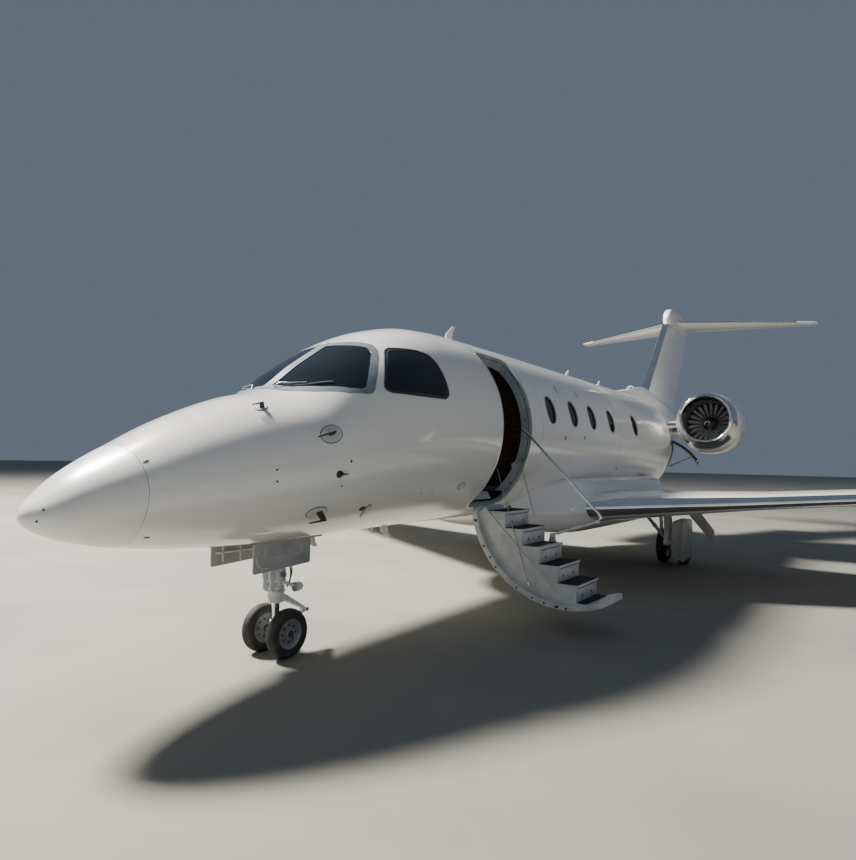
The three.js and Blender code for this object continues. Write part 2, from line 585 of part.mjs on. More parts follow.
// Cabin and cockpit fittings
function makeInterior() {
  const z = [floorPlate.top - floorPlate.thickness, floorPlate.top];
  const plate = common(inside, box([x(floorPlate.to), x(floorPlate.from)], [-1200, 1200], z));
  const notch = join(box([x(doorway.to + 40), x(doorway.from - 40)], [415, 1300], [1400, 1700]),
    box([x(railSlot.to), x(railSlot.from)], [railSlot.inner, 1300], [1400, 1700]));
  const { from, to, halfWidth: w, wall: t } = noseBay;
  const bayOuter = box([x(to + t), x(from - t)], [-w - t, w + t], [1165, floorPlate.top - 10]);
  const bayInner = box([x(to), x(from)], [-w, w], [1000, floorPlate.top - floorPlate.thickness]);
  part('cabin_floor', cut(join(cut(plate, notch), cut(common(bayOuter, inside), bayInner)), bayInner),
    finishes.dark);

  const dash = [[x(2820), 2440], [x(2820), 2400], [x(2700), 2330], [x(2640), 1800], [x(3420), 1700],
    [x(3420), 1650], [x(2500), floorPlate.top + gap], [x(2360), floorPlate.top + gap], [x(2300), 2440]];
  const panel = common(inside, join(outlineXZ(dash, [-140, 140]),
    outlineXZ([[x(2820), 2440], [x(2820), 2400], [x(2700), 2330], [x(2640), 1960], [x(2360), 1960],
      [x(2300), 2440]], [-1000, 1000])));
  part('cockpit_panel', panel, finishes.dark);

  const seat = (station, facing, y, halfSpan) => {
    const base = floorPlate.top + gap;
    const f = facing;
    const outline = [[-180, base], [180, base], [220, base + 300], [260, base + 430], [-150, base + 430],
      [-330, base + 1010], [-450, base + 980], [-290, base + 330]];
    return outlineXZ(outline.map(([dx, dz]) => [x(station) + f * dx, dz]), [y - halfSpan, y + halfSpan]);
  };
  const seatRail = (from, to, y) => box([x(to), x(from)], [y - 20, y + 20],
    [floorPlate.top + gap, floorPlate.top + 12]);
  part('pilot_seats', join(seat(3330, 1, 470, 230), seat(3330, 1, -470, 230),
    box([x(3360), x(3320)], [-470, 470], [floorPlate.top + gap, floorPlate.top + 40])), finishes.dark);

  const rows = [[6450, -1], [7500, 1], [8450, -1], [9550, 1]];
  const seats = rows.flatMap(([station, facing]) => [-640, 640].map(y => seat(station, facing, y, 270)));
  const seatRails = [-640, 640].map(y => seatRail(rows[0][0], rows.at(-1)[0], y));
  const cross = box([x(6470), x(6430)], [-640, 640], [floorPlate.top + gap, floorPlate.top + 12]);
  part('cabin_seats', common(inside, join(...seats, ...seatRails, cross)), finishes.leather);

  const bulkhead = (from, to) => common(inside, box([x(to), x(from)], [-1200, 1200],
    [floorPlate.top + gap, 3500]));
  const aisle = box([x(5700), x(4300)], [-330, 330], [floorPlate.top - 10, 3080]);
  const galley = common(inside, box([x(5560), x(4480)], [-1200, -560], [floorPlate.top + gap, 2520]));
  const walls = join(bulkhead(4450, 4490), bulkhead(5540, 5580), galley);
  part('cabin_partitions', cut(walls, aisle), finishes.trim);
}

// Wing
const wingRows = [
  // y, leading edge, chord, mid height, thickness ratio, cant of the section
  [700, 6630, 4800, 1185, 0.115, 0],
  [1250, 6930, 4370, 1212, 0.108, 0],
  [3400, 8063, 3137, 1371, 0.082, 0],
  [6500, 9699, 2135, 1600, 0.088, 0],
  [9750, 11420, 1090, 1840, 0.095, 4],
  [10130, 11660, 960, 1905, 0.1, 30],
  [10420, 11920, 800, 2140, 0.1, 62],
  [10740, 12640, 400, 3080, 0.1, 74],
];
const foilStops = [1, 0.74, 0.48, 0.26, 0.1, 0.02];
const skinPad = 0.0015;

function foilHalf(u) {
  return 5 * (0.2969 * Math.sqrt(u) - 0.126 * u - 0.3516 * u * u + 0.2843 * u ** 3 - 0.1015 * u ** 4);
}

function foilRing(place, chord, ratio, extra = 0) {
  const thin = skinPad * chord + extra;
  const upper = foilStops.map(u => place(u * chord, ratio * chord * foilHalf(u) + thin));
  const lower = foilStops.map(u => place(u * chord, -ratio * chord * foilHalf(u) - thin)).reverse();
  return [...upper, place(0, 0), ...lower];
}

function wingRing([y, lead, chord, z, ratio, cant], extra = 0) {
  return foilRing((along, high) => [x(lead + along), y - high * sind(cant), z + high * cosd(cant)],
    chord, ratio, extra);
}

const wingRow = column => y => {
  let i = 0;
  while (i < wingRows.length - 2 && y > wingRows[i + 1][0]) i++;
  const [a, b] = [wingRows[i], wingRows[i + 1]];
  return a[column] + (b[column] - a[column]) * (y - a[0]) / (b[0] - a[0]);
};
const [wingLead, wingChord, wingHeight, wingRatio] = [1, 2, 3, 4].map(wingRow);

// Splits a body along a hinge line into what stays and what swings, with a rounded nose
function splitAlong(body, hinge, { nose, reach, pinned = true, clear = running }) {
  const a = new THREE.Vector3(x(hinge.from[0]), hinge.from[1], hinge.from[2]);
  const b = new THREE.Vector3(x(hinge.to[0]), hinge.to[1], hinge.to[2]);
  const span = b.clone().sub(a);
  const length = span.length();
  const u = span.clone().normalize();
  const aft = new THREE.Vector3(-1, 0, 0).projectOnPlane(u).normalize();
  const w = u.clone().cross(aft);
  const frame = new THREE.Matrix4().makeBasis(u, aft, w).setPosition(a);
  const block = ([u0, u1], [v0, v1], [w0, w1]) => moved(box([u0, u1], [v0, v1], [w0, w1]), frame);
  const at = t => a.clone().addScaledVector(u, t).toArray();
  const cone = extra => rod(at(-extra), at(length + extra), nose[0] + extra, 12, nose[1] + extra);
  const tall = 400;
  const swings = common(body, join(block([0, length], [running / 2, reach], [-tall, tall]), cone(0)));
  const stays = cut(body, block([-running, length + running], [-running / 2, reach], [-tall, tall]),
    cone(clear));
  if (!pinned) return { stays, swings, block };
  const pinRadius = Math.min(12, 0.4 * Math.min(...nose));
  const pins = [[gap - clear, 4], [length - 4, length + clear - gap]]
    .map(([t0, t1]) => rod(at(t0), at(t1), pinRadius, 8));
  return { stays, swings: join(swings, ...pins), block };
}

// Split lines on the port wing: [station, y, z]
function hingeOnWing(y, share, drop = 0) {
  return [wingLead(y) + share * wingChord(y), y, wingHeight(y) - drop];
}

const flap = { root: 1560, tip: 6150, rootShare: 0.805, tipShare: 0.745, drop: 165, nose: 58,
  stations: [2750, 5150], reach: 1400 };
const canoe = { slot: 46, outside: 75, lug: 11.7 };
const canoeRows = [
  // behind the hinge, half width, top above the hinge, bottom above the hinge
  [-620, 12, 160, 6],
  [-430, 50, 160, -30],
  [-190, 60, 160, -52],
  [140, 60, 160, -50],
  [365, 46, 160, -12],
  [560, 8, 160, 60],
];
const aileron = { root: 6450, tip: 9350, share: 0.74, reach: 900 };
const hingeSpare = 0.5;
const openSide = running + 3 * hingeSpare;

function wingHalfThickness(y, share) {
  return wingChord(y) * (wingRatio(y) * foilHalf(share) + skinPad);
}

function makeWings() {
  const wing = loft(wingRows.map(row => wingRing(row)));
  const flapLine = { from: hingeOnWing(flap.root, flap.rootShare, flap.drop),
    to: hingeOnWing(flap.tip, flap.tipShare, flap.drop) };
  const onFlapLine = y => {
    const t = (y - flap.root) / (flap.tip - flap.root);
    return flapLine.from.map((value, i) => value + (flapLine.to[i] - value) * t);
  };
  const canoes = flap.stations.map(y => {
    const [s, , z] = onFlapLine(y);
    return loft(canoeRows.map(([along, half, up, down]) => {
      const side = [[half, up], [half, down + 20], [0.6 * half, down]];
      return [...side, ...side.map(([dy, dz]) => [-dy, dz]).reverse()]
        .map(([dy, dz]) => [x(s + along), y + dy, z + dz]);
    }));
  });
  const withCanoes = join(wing, ...canoes);
  const flapSplit = splitFlap(withCanoes, flapLine, onFlapLine);
  const thick = y => wingHalfThickness(y, aileron.share) - hingeSpare;
  const aileronSplit = splitAlong(flapSplit.stays,
    { from: hingeOnWing(aileron.root, aileron.share), to: hingeOnWing(aileron.tip, aileron.share) },
    { nose: [thick(aileron.root), thick(aileron.tip)], reach: aileron.reach, clear: openSide });
  const gearPanel = outlineYZ([[1960, 1240], [2010, 1240], [2400, 730], [2400, 500], [2380, 500], [1985, 960],
    [1960, 1000]], [x(10380), x(10300)]);
  const fairingSkin = bellyLoft(gap);
  const rooted = cut(join(aileronSplit.stays, gearPanel), fairingSkin, gearWell());
  pair('wing', rooted, finishes.paint);
  pair('aileron', aileronSplit.swings, finishes.paint);
  pair('flap', flapSplit.swings, finishes.paint);
}

function splitFlap(body, line, onLine) {
  const split = splitAlong(body, line, { nose: [flap.nose, flap.nose], reach: flap.reach, pinned: false });
  const a = onLine(flap.root);
  const slots = [];
  const lugs = [];
  for (const y of flap.stations) {
    const [s, , z] = onLine(y);
    const along = Math.hypot(s - a[0], y - a[1], z - a[2]);
    for (const side of [-1, 1]) {
      const [inner, outer] = [side * (canoe.slot + gap), side * (canoe.slot + gap + canoe.lug)];
      const range = [Math.min(inner, outer), Math.max(inner, outer)].map(value => along + value);
      lugs.push(split.block(range, [-130, 26], [-26, 26]));
      const open = [side * canoe.slot, side * canoe.outside].sort((p, q) => p - q);
      slots.push(split.block(open.map(value => along + value), [-200, 48], [-130, 90]));
    }
  }
  return { stays: join(split.stays, ...lugs), swings: cut(split.swings, ...slots) };
}

// Wing-to-body fairing under the cabin
const fairingRows = [
  // station, half width, side top, keel, corner height
  [5700, 500, 1330, 1085, 60],
  [6200, 1010, 1420, 960, 130],
  [6900, 1290, 1480, 838, 210],
  [7800, 1345, 1500, 800, 240],
  [10600, 1345, 1500, 800, 240],
  [11600, 1240, 1460, 850, 220],
  [12300, 960, 1400, 985, 150],
  [12900, 560, 1340, 1180, 60],
];

function bellyLoft(extra = 0) {
  return loft(fairingRows.map(([s, half, top, bottom, corner]) => {
    const [w, b, c] = [half + extra, bottom - extra, corner];
    const side = [[w * 0.8, top + 160], [w * 0.93, top], [w, top - 260 * (w / 1345)],
      [w * 0.985, b + c * 1.25], [w * 0.93, b + c * 0.6], [w * 0.82, b + c * 0.22], [w * 0.62, b + c * 0.04],
      [w * 0.3, b]];
    return [...side, ...side.map(([y, z]) => [-y, z]).reverse()].map(([y, z]) => [x(s), y, z]);
  }));
}

const well = { station: 10720, y: 640, radius: 395, top: 1060 };

function gearWell() {
  return rod([x(well.station), well.y, 500], [x(well.station), well.y, well.top], well.radius, 16);
}

function makeBelly() {
  const wells = [gearWell(), mirrored(gearWell())];
  part('belly_fairing', cut(bellyLoft(), skirt, ...wells), finishes.paint);
}

// Tail
const finShape = {
  heights: [3150, 3600, 4600, 5500, 5900],
  ratio: 0.105,
  lead: z => 14430 + 0.97 * (z - 3990),
  trail: z => 17240 + 0.665 * (z - 3380),
};
const rudderLine = { low: 3660, high: 5560, above: 38, reach: 2500, station: z => 15815 + 0.84 * (z - 3509) };
const tailplane = {
  rootLead: 17010, tipLead: 19150, rootChord: 1790, end: 19690, halfSpan: 3530, z: 6080,
  nearTip: 0.985, rise: 25, ratio: 0.1,
};
const elevator = { from: [18457, 380, 6083], to: [19412, 3380, 6104], nose: [52, 21], reach: 900 };

function makeTail() {
  const finBody = loft(finShape.heights.map(z => {
    const [lead, chord] = [finShape.lead(z), finShape.trail(z) - finShape.lead(z)];
    return foilRing((along, high) => [x(lead + along), high, z], chord, finShape.ratio);
  }));
  const thick = z => {
    const chord = finShape.trail(z) - finShape.lead(z);
    const share = (rudderLine.station(z) - finShape.lead(z)) / chord;
    return chord * (finShape.ratio * foilHalf(share) + skinPad) - hingeSpare;
  };
  const rudderHinge = { from: [rudderLine.station(rudderLine.low), 0, rudderLine.low],
    to: [rudderLine.station(rudderLine.high), 0, rudderLine.high] };
  const nose = [thick(rudderLine.low), thick(rudderLine.high)];
  const { reach } = rudderLine;
  const { stays, swings } = splitAlong(finBody, rudderHinge, { nose, reach, clear: openSide });
  part('dorsal_fairing', cut(dorsalLoft(), skirt, ramInlet()), finishes.paint);
  part('fin', cut(stays, skirt, dorsalLoft(gap), bulletLoft(gap)), finishes.paint);
  part('rudder', cut(swings, dorsalLoft(rudderLine.above)), finishes.paint);

  const { rootLead, tipLead, rootChord, end, halfSpan, z, nearTip, rise, ratio } = tailplane;
  const leadAt = t => rootLead + (tipLead - rootLead) * Math.abs(t);
  const chordAt = t => rootChord + (end - leadAt(nearTip) - rootChord) * Math.abs(t) / nearTip;
  const plane = loft([[-1, 0.9], [-nearTip, 1], [0, 1], [nearTip, 1], [1, 0.9]].map(([t, full]) => {
    const lead = leadAt(t) + (1 - full) * 500;
    const chord = chordAt(t) * full - (1 - full) * 200;
    return foilRing((along, high) => [x(lead + along), t * halfSpan, z + rise * Math.abs(t) + high],
      chord, ratio * full);
  }));
  const line = side => ({
    from: elevator.from.map((value, i) => (i === 1 ? side * value : value)),
    to: elevator.to.map((value, i) => (i === 1 ? side * value : value)),
  });
  const port = splitAlong(plane, line(1), elevator);
  const starboard = splitAlong(port.stays, line(-1), elevator);
  part('stabilizer', join(starboard.stays, bulletLoft()), finishes.paint);
  part('elevator_left', port.swings, finishes.paint);
  part('elevator_right', starboard.swings, finishes.paint);
}

const bulletRows = [
  // station, half width, bottom, top
  [16500, 20, 5990, 6120],
  [16580, 105, 5860, 6300],
  [16760, 150, 5800, 6400],
  [17100, 175, 5800, 6430],
  [17900, 170, 5830, 6400],
  [18700, 105, 5900, 6290],
  [19250, 25, 6040, 6170],
];

function bulletLoft(extra = 0) {
  return loft(bulletRows.map(([s, half, low, high]) => {
    const [h, cz, r] = [half + extra, (low + high) / 2, (high - low) / 2 + extra];
    return Array.from({ length: 12 }, (_, k) => {
      const angle = 2 * Math.PI * k / 12;
      const bend = value => Math.sign(value) * Math.abs(value) ** 0.8;
      return [x(s), h * bend(Math.cos(angle)), cz + r * bend(Math.sin(angle))];
    });
  }));
}

const dorsalRows = [
  // station, half width, top
  [11000, 40, 3486],
  [12000, 90, 3545],
  [13000, 140, 3680],
  [13680, 165, 3790],
  [14300, 190, 3800],
  [15400, 230, 3640],
  [16800, 200, 3420],
  [17500, 120, 3260],
];

function dorsalLoft(extra = 0) {
  return loft(dorsalRows.map(([s, half, top]) => {
    const [h, t, low] = [half + extra, top + extra, crown(s) - 150];
    return [[h * 1.25, low], [h * 1.15, crown(s)], [h, (crown(s) + t) / 2], [h * 0.62, t - 12], [h * 0.2, t],
      [-h * 0.2, t], [-h * 0.62, t - 12], [-h, (crown(s) + t) / 2], [-h * 1.15, crown(s)], [-h * 1.25, low]]
      .map(([y, z]) => [x(s), y, z]);
  }));
}

function ramInlet() {
  return rod([x(13000), 0, 3685], [x(14150), 0, 3675], 78, 16);
}

// Engines: the inlet ahead of the fan rises, and the whole engine is toed out
function inletLift(along) {
  const t = Math.max(0, (engine.liftEnd - noseTip + along) / (engine.liftEnd - engine.lip));
  return [0, engine.lift * t * t];
}

function toedOut(solid) {
  return moved(solid, new THREE.Matrix4().makeTranslation(x(engine.lip), engine.y, 0)
    .multiply(new THREE.Matrix4().makeRotationZ(THREE.MathUtils.degToRad(engine.toe)))
    .multiply(new THREE.Matrix4().makeTranslation(-x(engine.lip), 0, 0)));
}

// Turned profiles: [radius, station]
const cowlOuter = [[500, 11998], [545, 12065], [596, engine.cowl], [640, 12480], [650, 12850], [640, 13300],
  [595, 13900], [515, 14600], [440, engine.tail]];
const cowlInner = [[424, engine.tail], [470, 14600], [520, 13900], [520, 13050], [472, 12940], [468, 12560],
  [450, engine.cowl], [456, 12080]];
const coreRadius = 520 - gap;
const coreProfile = [[0, 12945], [140, 12945], [140, 13060], [coreRadius, 13090], [coreRadius, 13900],
  [330, 14450], [245, 15240], [150, 15240], [0, 15600]];
const hubProfile = [[0, 12440], [70, 12510], [fan.hub, 12720], [fan.hub, 12945 - gap], [0, 12945 - gap]];
const cowlSides = 22;
const pylonRows = [
  // y, leading edge, chord, thickness ratio
  [400, 12560, 2560, 0.115],
  [1400, 12480, 2640, 0.105],
];
const pylonHeight = 2745;

function makeEngines() {
  const lipOuter = cowlOuter.filter(([, s]) => s < engine.cowl);
  const lipInner = cowlInner.filter(([, s]) => s < engine.cowl);
  const seam = engine.cowl - gap;
  const lip = [...lipOuter, [595, seam], [450, seam], ...lipInner, lipOuter[0]];
  const body = [cowlOuter, cowlInner].flatMap(rows => rows.filter(([, s]) => s >= engine.cowl));
  const turned = (profile, sides = cowlSides, lift = inletLift) =>
    toedOut(turnedX(profile.map(([r, s]) => [r, x(s)]), sides, [0, engine.z], lift));
  pair('inlet_lip', turned(lip), finishes.polished);
  pair('nacelle', turned([...body, body[0]]), finishes.paint);
  pair('engine', turned(coreProfile, cowlSides, null), finishes.titanium);

  const blade = twistedBlade();
  const blades = Array.from({ length: fan.blades }, (_, k) =>
    toedOut(moved(blade, new THREE.Matrix4().makeTranslation(x(fan.station), 0, engine.z)
      .multiply(new THREE.Matrix4().makeRotationX(2 * Math.PI * k / fan.blades)))));
  pair('fan', join(turned(hubProfile, fan.blades, null), ...blades), finishes.titanium);

  const nacelleBody = turned([[0, engine.lip], ...cowlOuter.map(([r, s]) => [r + gap, s]), [0, engine.tail]]);
  const pylon = loft(pylonRows.map(([y, lead, chord, ratio]) =>
    foilRing((along, high) => [x(lead + along), y, pylonHeight + high], chord, ratio)));
  pair('pylon', cut(pylon, skirt, nacelleBody), finishes.paint);
}

// A flat-sided blade that stands up from the hub, and twists on the way
function twistedBlade() {
  const rows = [[fan.hub - 25, fan.rootTwist], [fan.tip, fan.tipTwist]];
  return loft(rows.map(([radius, angle]) => {
    const [c, s] = [cosd(angle), sind(angle)];
    const [l, t] = [fan.chord / 2, fan.thick / 2];
    return [[l, -t], [l, t], [-l, t], [-l, -t]].map(([along, across]) =>
      [along * c - across * s, along * s + across * c, radius]);
  }));
}

// Landing gear
function tyreAt({ station, radius, rim, tyre, half, track }, side) {
  const tread = radius / Math.cos(Math.PI / wheelSides);
  const inner = rim - 14 + gap;
  const bead = tyre * 0.62;
  const oneSide = [[tread, tyre * 0.35], [tread - 0.05 * radius, tyre * 0.8], [0.5 * (rim + tread), tyre],
    [rim + 12, bead + 6], [inner, bead]];
  const profile = [...oneSide.map(([r, y]) => [r, -y]).reverse(), ...oneSide, [inner, -bead]];
  return turnedY(profile, [x(station), track + side * half, radius]);
}

function rimsAt({ station, radius, rim, tyre, half, track, axle }) {
  const bead = tyre * 0.62 + gap;
  const seat = rim - 14;
  const flange = bead + 8;
  const oneSide = [[axle, half - flange], [rim, half - flange], [seat, half - bead], [seat, half + bead],
    [rim, half + flange], [axle + 40, half + 0.3 * bead], [axle + 24, half + bead + 4], [0, half + bead + 4]];
  const profile = [...oneSide.map(([r, y]) => [r, -y]).reverse(), ...oneSide];
  return turnedY(profile, [x(station), track, radius]);
}

const noseLeg = { top: 1498, split: 618, radius: 68, head: 88, bore: 1 };
const scissor = { apex: [392, 362], pin: 22, half: 30, upper: [60, 545], lower: [30, 274] };
const noseDoor = {
  // station, z
  outline: [[2440, 892], [1790, 858], [1776, 872], [1776, 1300], [2446, 1300], [2446, 900]],
  from: 18, to: 36,
};

function makeNoseGear() {
  const w = wheels.nose;
  const [s, z] = [w.station, w.radius];
  part('nose_rims', rimsAt(w), finishes.steel);
  part('nose_tyre_left', tyreAt(w, 1), finishes.rubber);
  part('nose_tyre_right', tyreAt(w, -1), finishes.rubber);

  const bore = rod([x(s), -80, z], [x(s), 80, z], w.axle + noseLeg.bore, 16);
  const boss = rod([x(s), -46, z], [x(s), 46, z], 58, 16);
  const axleBlock = cut(join(boss, rod([x(s), 0, z + 20], [x(s), 0, 520], 42, 10)), bore);
  const collar = rod([x(s), 0, 500], [x(s), 0, noseLeg.split], 82, 14);
  const apex = [x(s + scissor.apex[0]), scissor.apex[1]];
  const link = ([behind, height]) => outlineXZ([[x(s + behind), height - 16], [x(s + behind), height + 16],
    [apex[0], apex[1] + 14], [apex[0], apex[1] - 14]], [-scissor.half, scissor.half]);
  const links = join(link(scissor.upper), link(scissor.lower),
    rod([apex[0], -44, apex[1]], [apex[0], 44, apex[1]], scissor.pin, 8));
  part('nose_gear_fork', join(axleBlock, collar, links), finishes.gearPaint);

  const strut = rod([x(s), 0, noseLeg.split + gap], [x(s), 0, noseLeg.top], noseLeg.radius, 14);
  const head = rod([x(s), 0, 700], [x(s), 0, 900], noseLeg.head, 14);
  const reach = noseBay.halfWidth - gap;
  const trunnion = rod([x(s), -reach, 1330], [x(s), reach, 1330], 40, 10);
  const brace = join(rod([x(s - 60), 0, 930], [x(s - 430), 0, 1400], 26, 8),
    rod([x(s - 430), 0, 1390], [x(s - 430), 0, noseLeg.top], 34, 8));
  const lamp = join(rod([x(s + 20), 60, 690], [x(s + 150), 120, 640], 20, 8),
    rod([x(s + 118), 128, 636], [x(s + 205), 128, 636], 46, 12));
  const ram = rod([x(s + 60), -90, 680], [x(s - 70), -90, 680], 30, 8);
  const ramArm = rod([x(s), 0, 690], [x(s), -90, 680], 22, 8);
  part('nose_gear_leg', join(strut, head, trunnion, brace, lamp, ram, ramArm), finishes.gearPaint);

  const door = outlineXZ(noseDoor.outline.map(([station, height]) => [x(station), height]),
    [noseBay.halfWidth + noseDoor.from, noseBay.halfWidth + noseDoor.to]);
  pair('nose_gear_door', cut(door, skirt), finishes.paint);
}

const mainLeg = { head: [10300, 1420], knee: [10360, 440], headRadius: 78, kneeRadius: 62, bore: 1 };
const shockStrut = { top: [10385, 1060], middle: [10590, 690], bottom: [10680, 400], outer: 46, inner: 30 };
const mainDoor = {
  // station, z
  outline: [[10900, 190], [10120, 120], [10080, 700], [10160, 930], [10860, 860], [10930, 620]],
  from: 26, to: 50, stay: [10330, 760, 800], stayRadius: 22,
};

function makeMainGear() {
  const w = wheels.main;
  const [s, y, z] = [w.station, w.track, w.radius];
  pair('main_rims', rimsAt(w), finishes.steel);
  pair('main_tyre_outer', tyreAt(w, 1), finishes.rubber);
  pair('main_tyre_inner', tyreAt(w, -1), finishes.rubber);
  const onLeg = ([station, height]) => [x(station), y, height];
  const [head, knee] = [onLeg(mainLeg.head), onLeg(mainLeg.knee)];
  const postWith = extra => rod(head, knee, mainLeg.headRadius + extra, 12, mainLeg.kneeRadius + extra);
  const arm = join(rod(knee, [x(s), y, z], 52, 8), rod([x(s), y - 66, z], [x(s), y + 66, z], 78, 16),
    rod([knee[0], y - 70, knee[2]], [knee[0], y + 70, knee[2]], 58, 12));
  const shock = join(rod(onLeg(shockStrut.top), onLeg(shockStrut.middle), shockStrut.outer, 8),
    rod(onLeg(shockStrut.middle), onLeg(shockStrut.bottom), shockStrut.inner, 8));
  const brace = rod([x(10350), y - 30, 500], [x(10300), 1150, 1010], 34, 8);
  const bore = rod([x(s), y - 200, z], [x(s), y + 200, z], w.axle + mainLeg.bore, 16);
  const wing = loft(wingRows.slice(0, 4).map(row => wingRing(row, gap)));
  const leg = cut(join(postWith(0), arm, shock, brace), bore, bellyLoft(gap), wing, aboveWing());
  pair('main_gear_leg', leg, finishes.gearPaint);

  const outer = y + w.half + w.tyre;
  const plate = outlineXZ(mainDoor.outline.map(([station, height]) => [x(station), height]),
    [outer + mainDoor.from, outer + mainDoor.to]);
  const [station, innerZ, outerZ] = mainDoor.stay;
  const stay = rod([x(station), y + 50, innerZ], [x(station), outer + 30, outerZ], mainDoor.stayRadius, 10);
  pair('main_gear_door', cut(join(plate, stay), postWith(gap)), finishes.paint);
}

function aboveWing() {
  return box([x(11000), x(10000)], [1000, 2200], [1330, 1700]);
}

makeFuselage();
makeAirstair();
makeBayDoor();
makeInterior();
makeWings();
makeBelly();
makeTail();
makeEngines();
makeNoseGear();
makeMainGear();

export default group;
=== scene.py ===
import json
from math import acos, copysign, cos, hypot, pi, radians, sin, sqrt

import bmesh
import bpy
from mathutils import Matrix, Vector
from mathutils.bvhtree import BVHTree
from mathutils.geometry import barycentric_transform

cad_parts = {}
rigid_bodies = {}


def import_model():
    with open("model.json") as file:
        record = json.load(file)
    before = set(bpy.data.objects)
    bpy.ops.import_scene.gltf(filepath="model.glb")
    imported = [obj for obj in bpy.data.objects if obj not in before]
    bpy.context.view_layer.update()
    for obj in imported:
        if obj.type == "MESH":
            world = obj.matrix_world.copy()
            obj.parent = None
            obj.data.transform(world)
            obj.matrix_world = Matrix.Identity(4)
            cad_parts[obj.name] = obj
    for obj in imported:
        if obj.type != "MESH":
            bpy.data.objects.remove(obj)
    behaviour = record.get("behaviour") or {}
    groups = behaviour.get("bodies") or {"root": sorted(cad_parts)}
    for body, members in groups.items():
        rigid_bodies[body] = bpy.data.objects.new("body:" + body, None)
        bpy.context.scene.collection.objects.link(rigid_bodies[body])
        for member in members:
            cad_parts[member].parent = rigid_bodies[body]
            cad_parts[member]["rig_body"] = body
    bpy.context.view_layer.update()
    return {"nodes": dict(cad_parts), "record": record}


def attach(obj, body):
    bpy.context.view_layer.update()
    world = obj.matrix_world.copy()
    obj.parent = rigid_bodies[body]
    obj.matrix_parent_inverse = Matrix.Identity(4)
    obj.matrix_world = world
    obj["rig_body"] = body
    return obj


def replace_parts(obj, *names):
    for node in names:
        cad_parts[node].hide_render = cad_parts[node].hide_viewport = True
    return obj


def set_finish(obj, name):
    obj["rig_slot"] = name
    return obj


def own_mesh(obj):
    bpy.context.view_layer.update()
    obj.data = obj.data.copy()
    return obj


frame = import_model()
print("frame loaded,", len(frame["nodes"]), "nodes")

# Metres. +X forward, +Y to port, +Z up. Stations are measured aft from the tip of the nose.
noseTip = 9.845
bodyOf = {node: body for body, nodes in frame["record"]["behaviour"]["bodies"].items() for node in nodes}
finishes, slotOf = {}, {}
placed = Matrix.Translation
bothSides = (("left", 1), ("right", -1))


def at(s, y, z):
    return Vector((noseTip - s, y, z))


# Camera, floor and light

view = {
    "place": (11.6425, 4.656, 1.8787), "lens": 25.997, "right": (-0.5767, 0.8167, 0.0199),
    "up": (0.0516, 0.0122, 0.9986), "back": (0.8153, 0.5769, -0.0492),
}
studio = {
    "floor": (0.27, 0.265, 0.235), "floorSize": 160, "air": (0.62, 0.78, 1.0), "airPower": 0.2,
    "keyPlace": (12, -24, 30), "keySize": 6, "keyPower": 66000, "keyColor": (1.0, 0.95, 0.87),
    "fillPlace": (22, 20, 12), "fillSize": 18, "fillPower": 300, "fillColor": (0.93, 0.96, 1.0),
}


def makeCamera():
    lens = bpy.data.cameras.new("camera")
    lens.lens = view["lens"]
    lens.sensor_width = 36
    lens.clip_end = 400
    camera = bpy.data.objects.new("camera", lens)
    turn = Matrix((view["right"], view["up"], view["back"])).transposed()
    camera.matrix_world = placed(view["place"]) @ turn.to_4x4()
    bpy.context.scene.collection.objects.link(camera)
    bpy.context.scene.camera = camera


def makeLamp(name, place, size, power, color):
    lamp = bpy.data.lights.new(name, "AREA")
    lamp.size, lamp.energy, lamp.color = size, power, color
    piece = bpy.data.objects.new(name, lamp)
    piece.location = place
    piece.rotation_euler = (-Vector(place)).to_track_quat("-Z", "Y").to_euler()
    bpy.context.scene.collection.objects.link(piece)


def makeStudio():
    world = bpy.data.worlds.new("air")
    world.use_nodes = True
    sky = world.node_tree.nodes["Background"]
    sky.inputs["Color"].default_value = (*studio["air"], 1)
    sky.inputs["Strength"].default_value = studio["airPower"]
    bpy.context.scene.world = world
    for kind in ("key", "fill"):
        makeLamp(kind, *(studio[kind + part] for part in ("Place", "Size", "Power", "Color")))
    bm = bmesh.new()
    bmesh.ops.create_grid(bm, x_segments=2, y_segments=2, size=studio["floorSize"])
    mesh = bpy.data.meshes.new("floor")
    bm.to_mesh(mesh)
    bm.free()
    floor = bpy.data.objects.new("floor", mesh)
    floor.data.materials.append(finishes["concrete"])
    bpy.context.scene.collection.objects.link(floor)


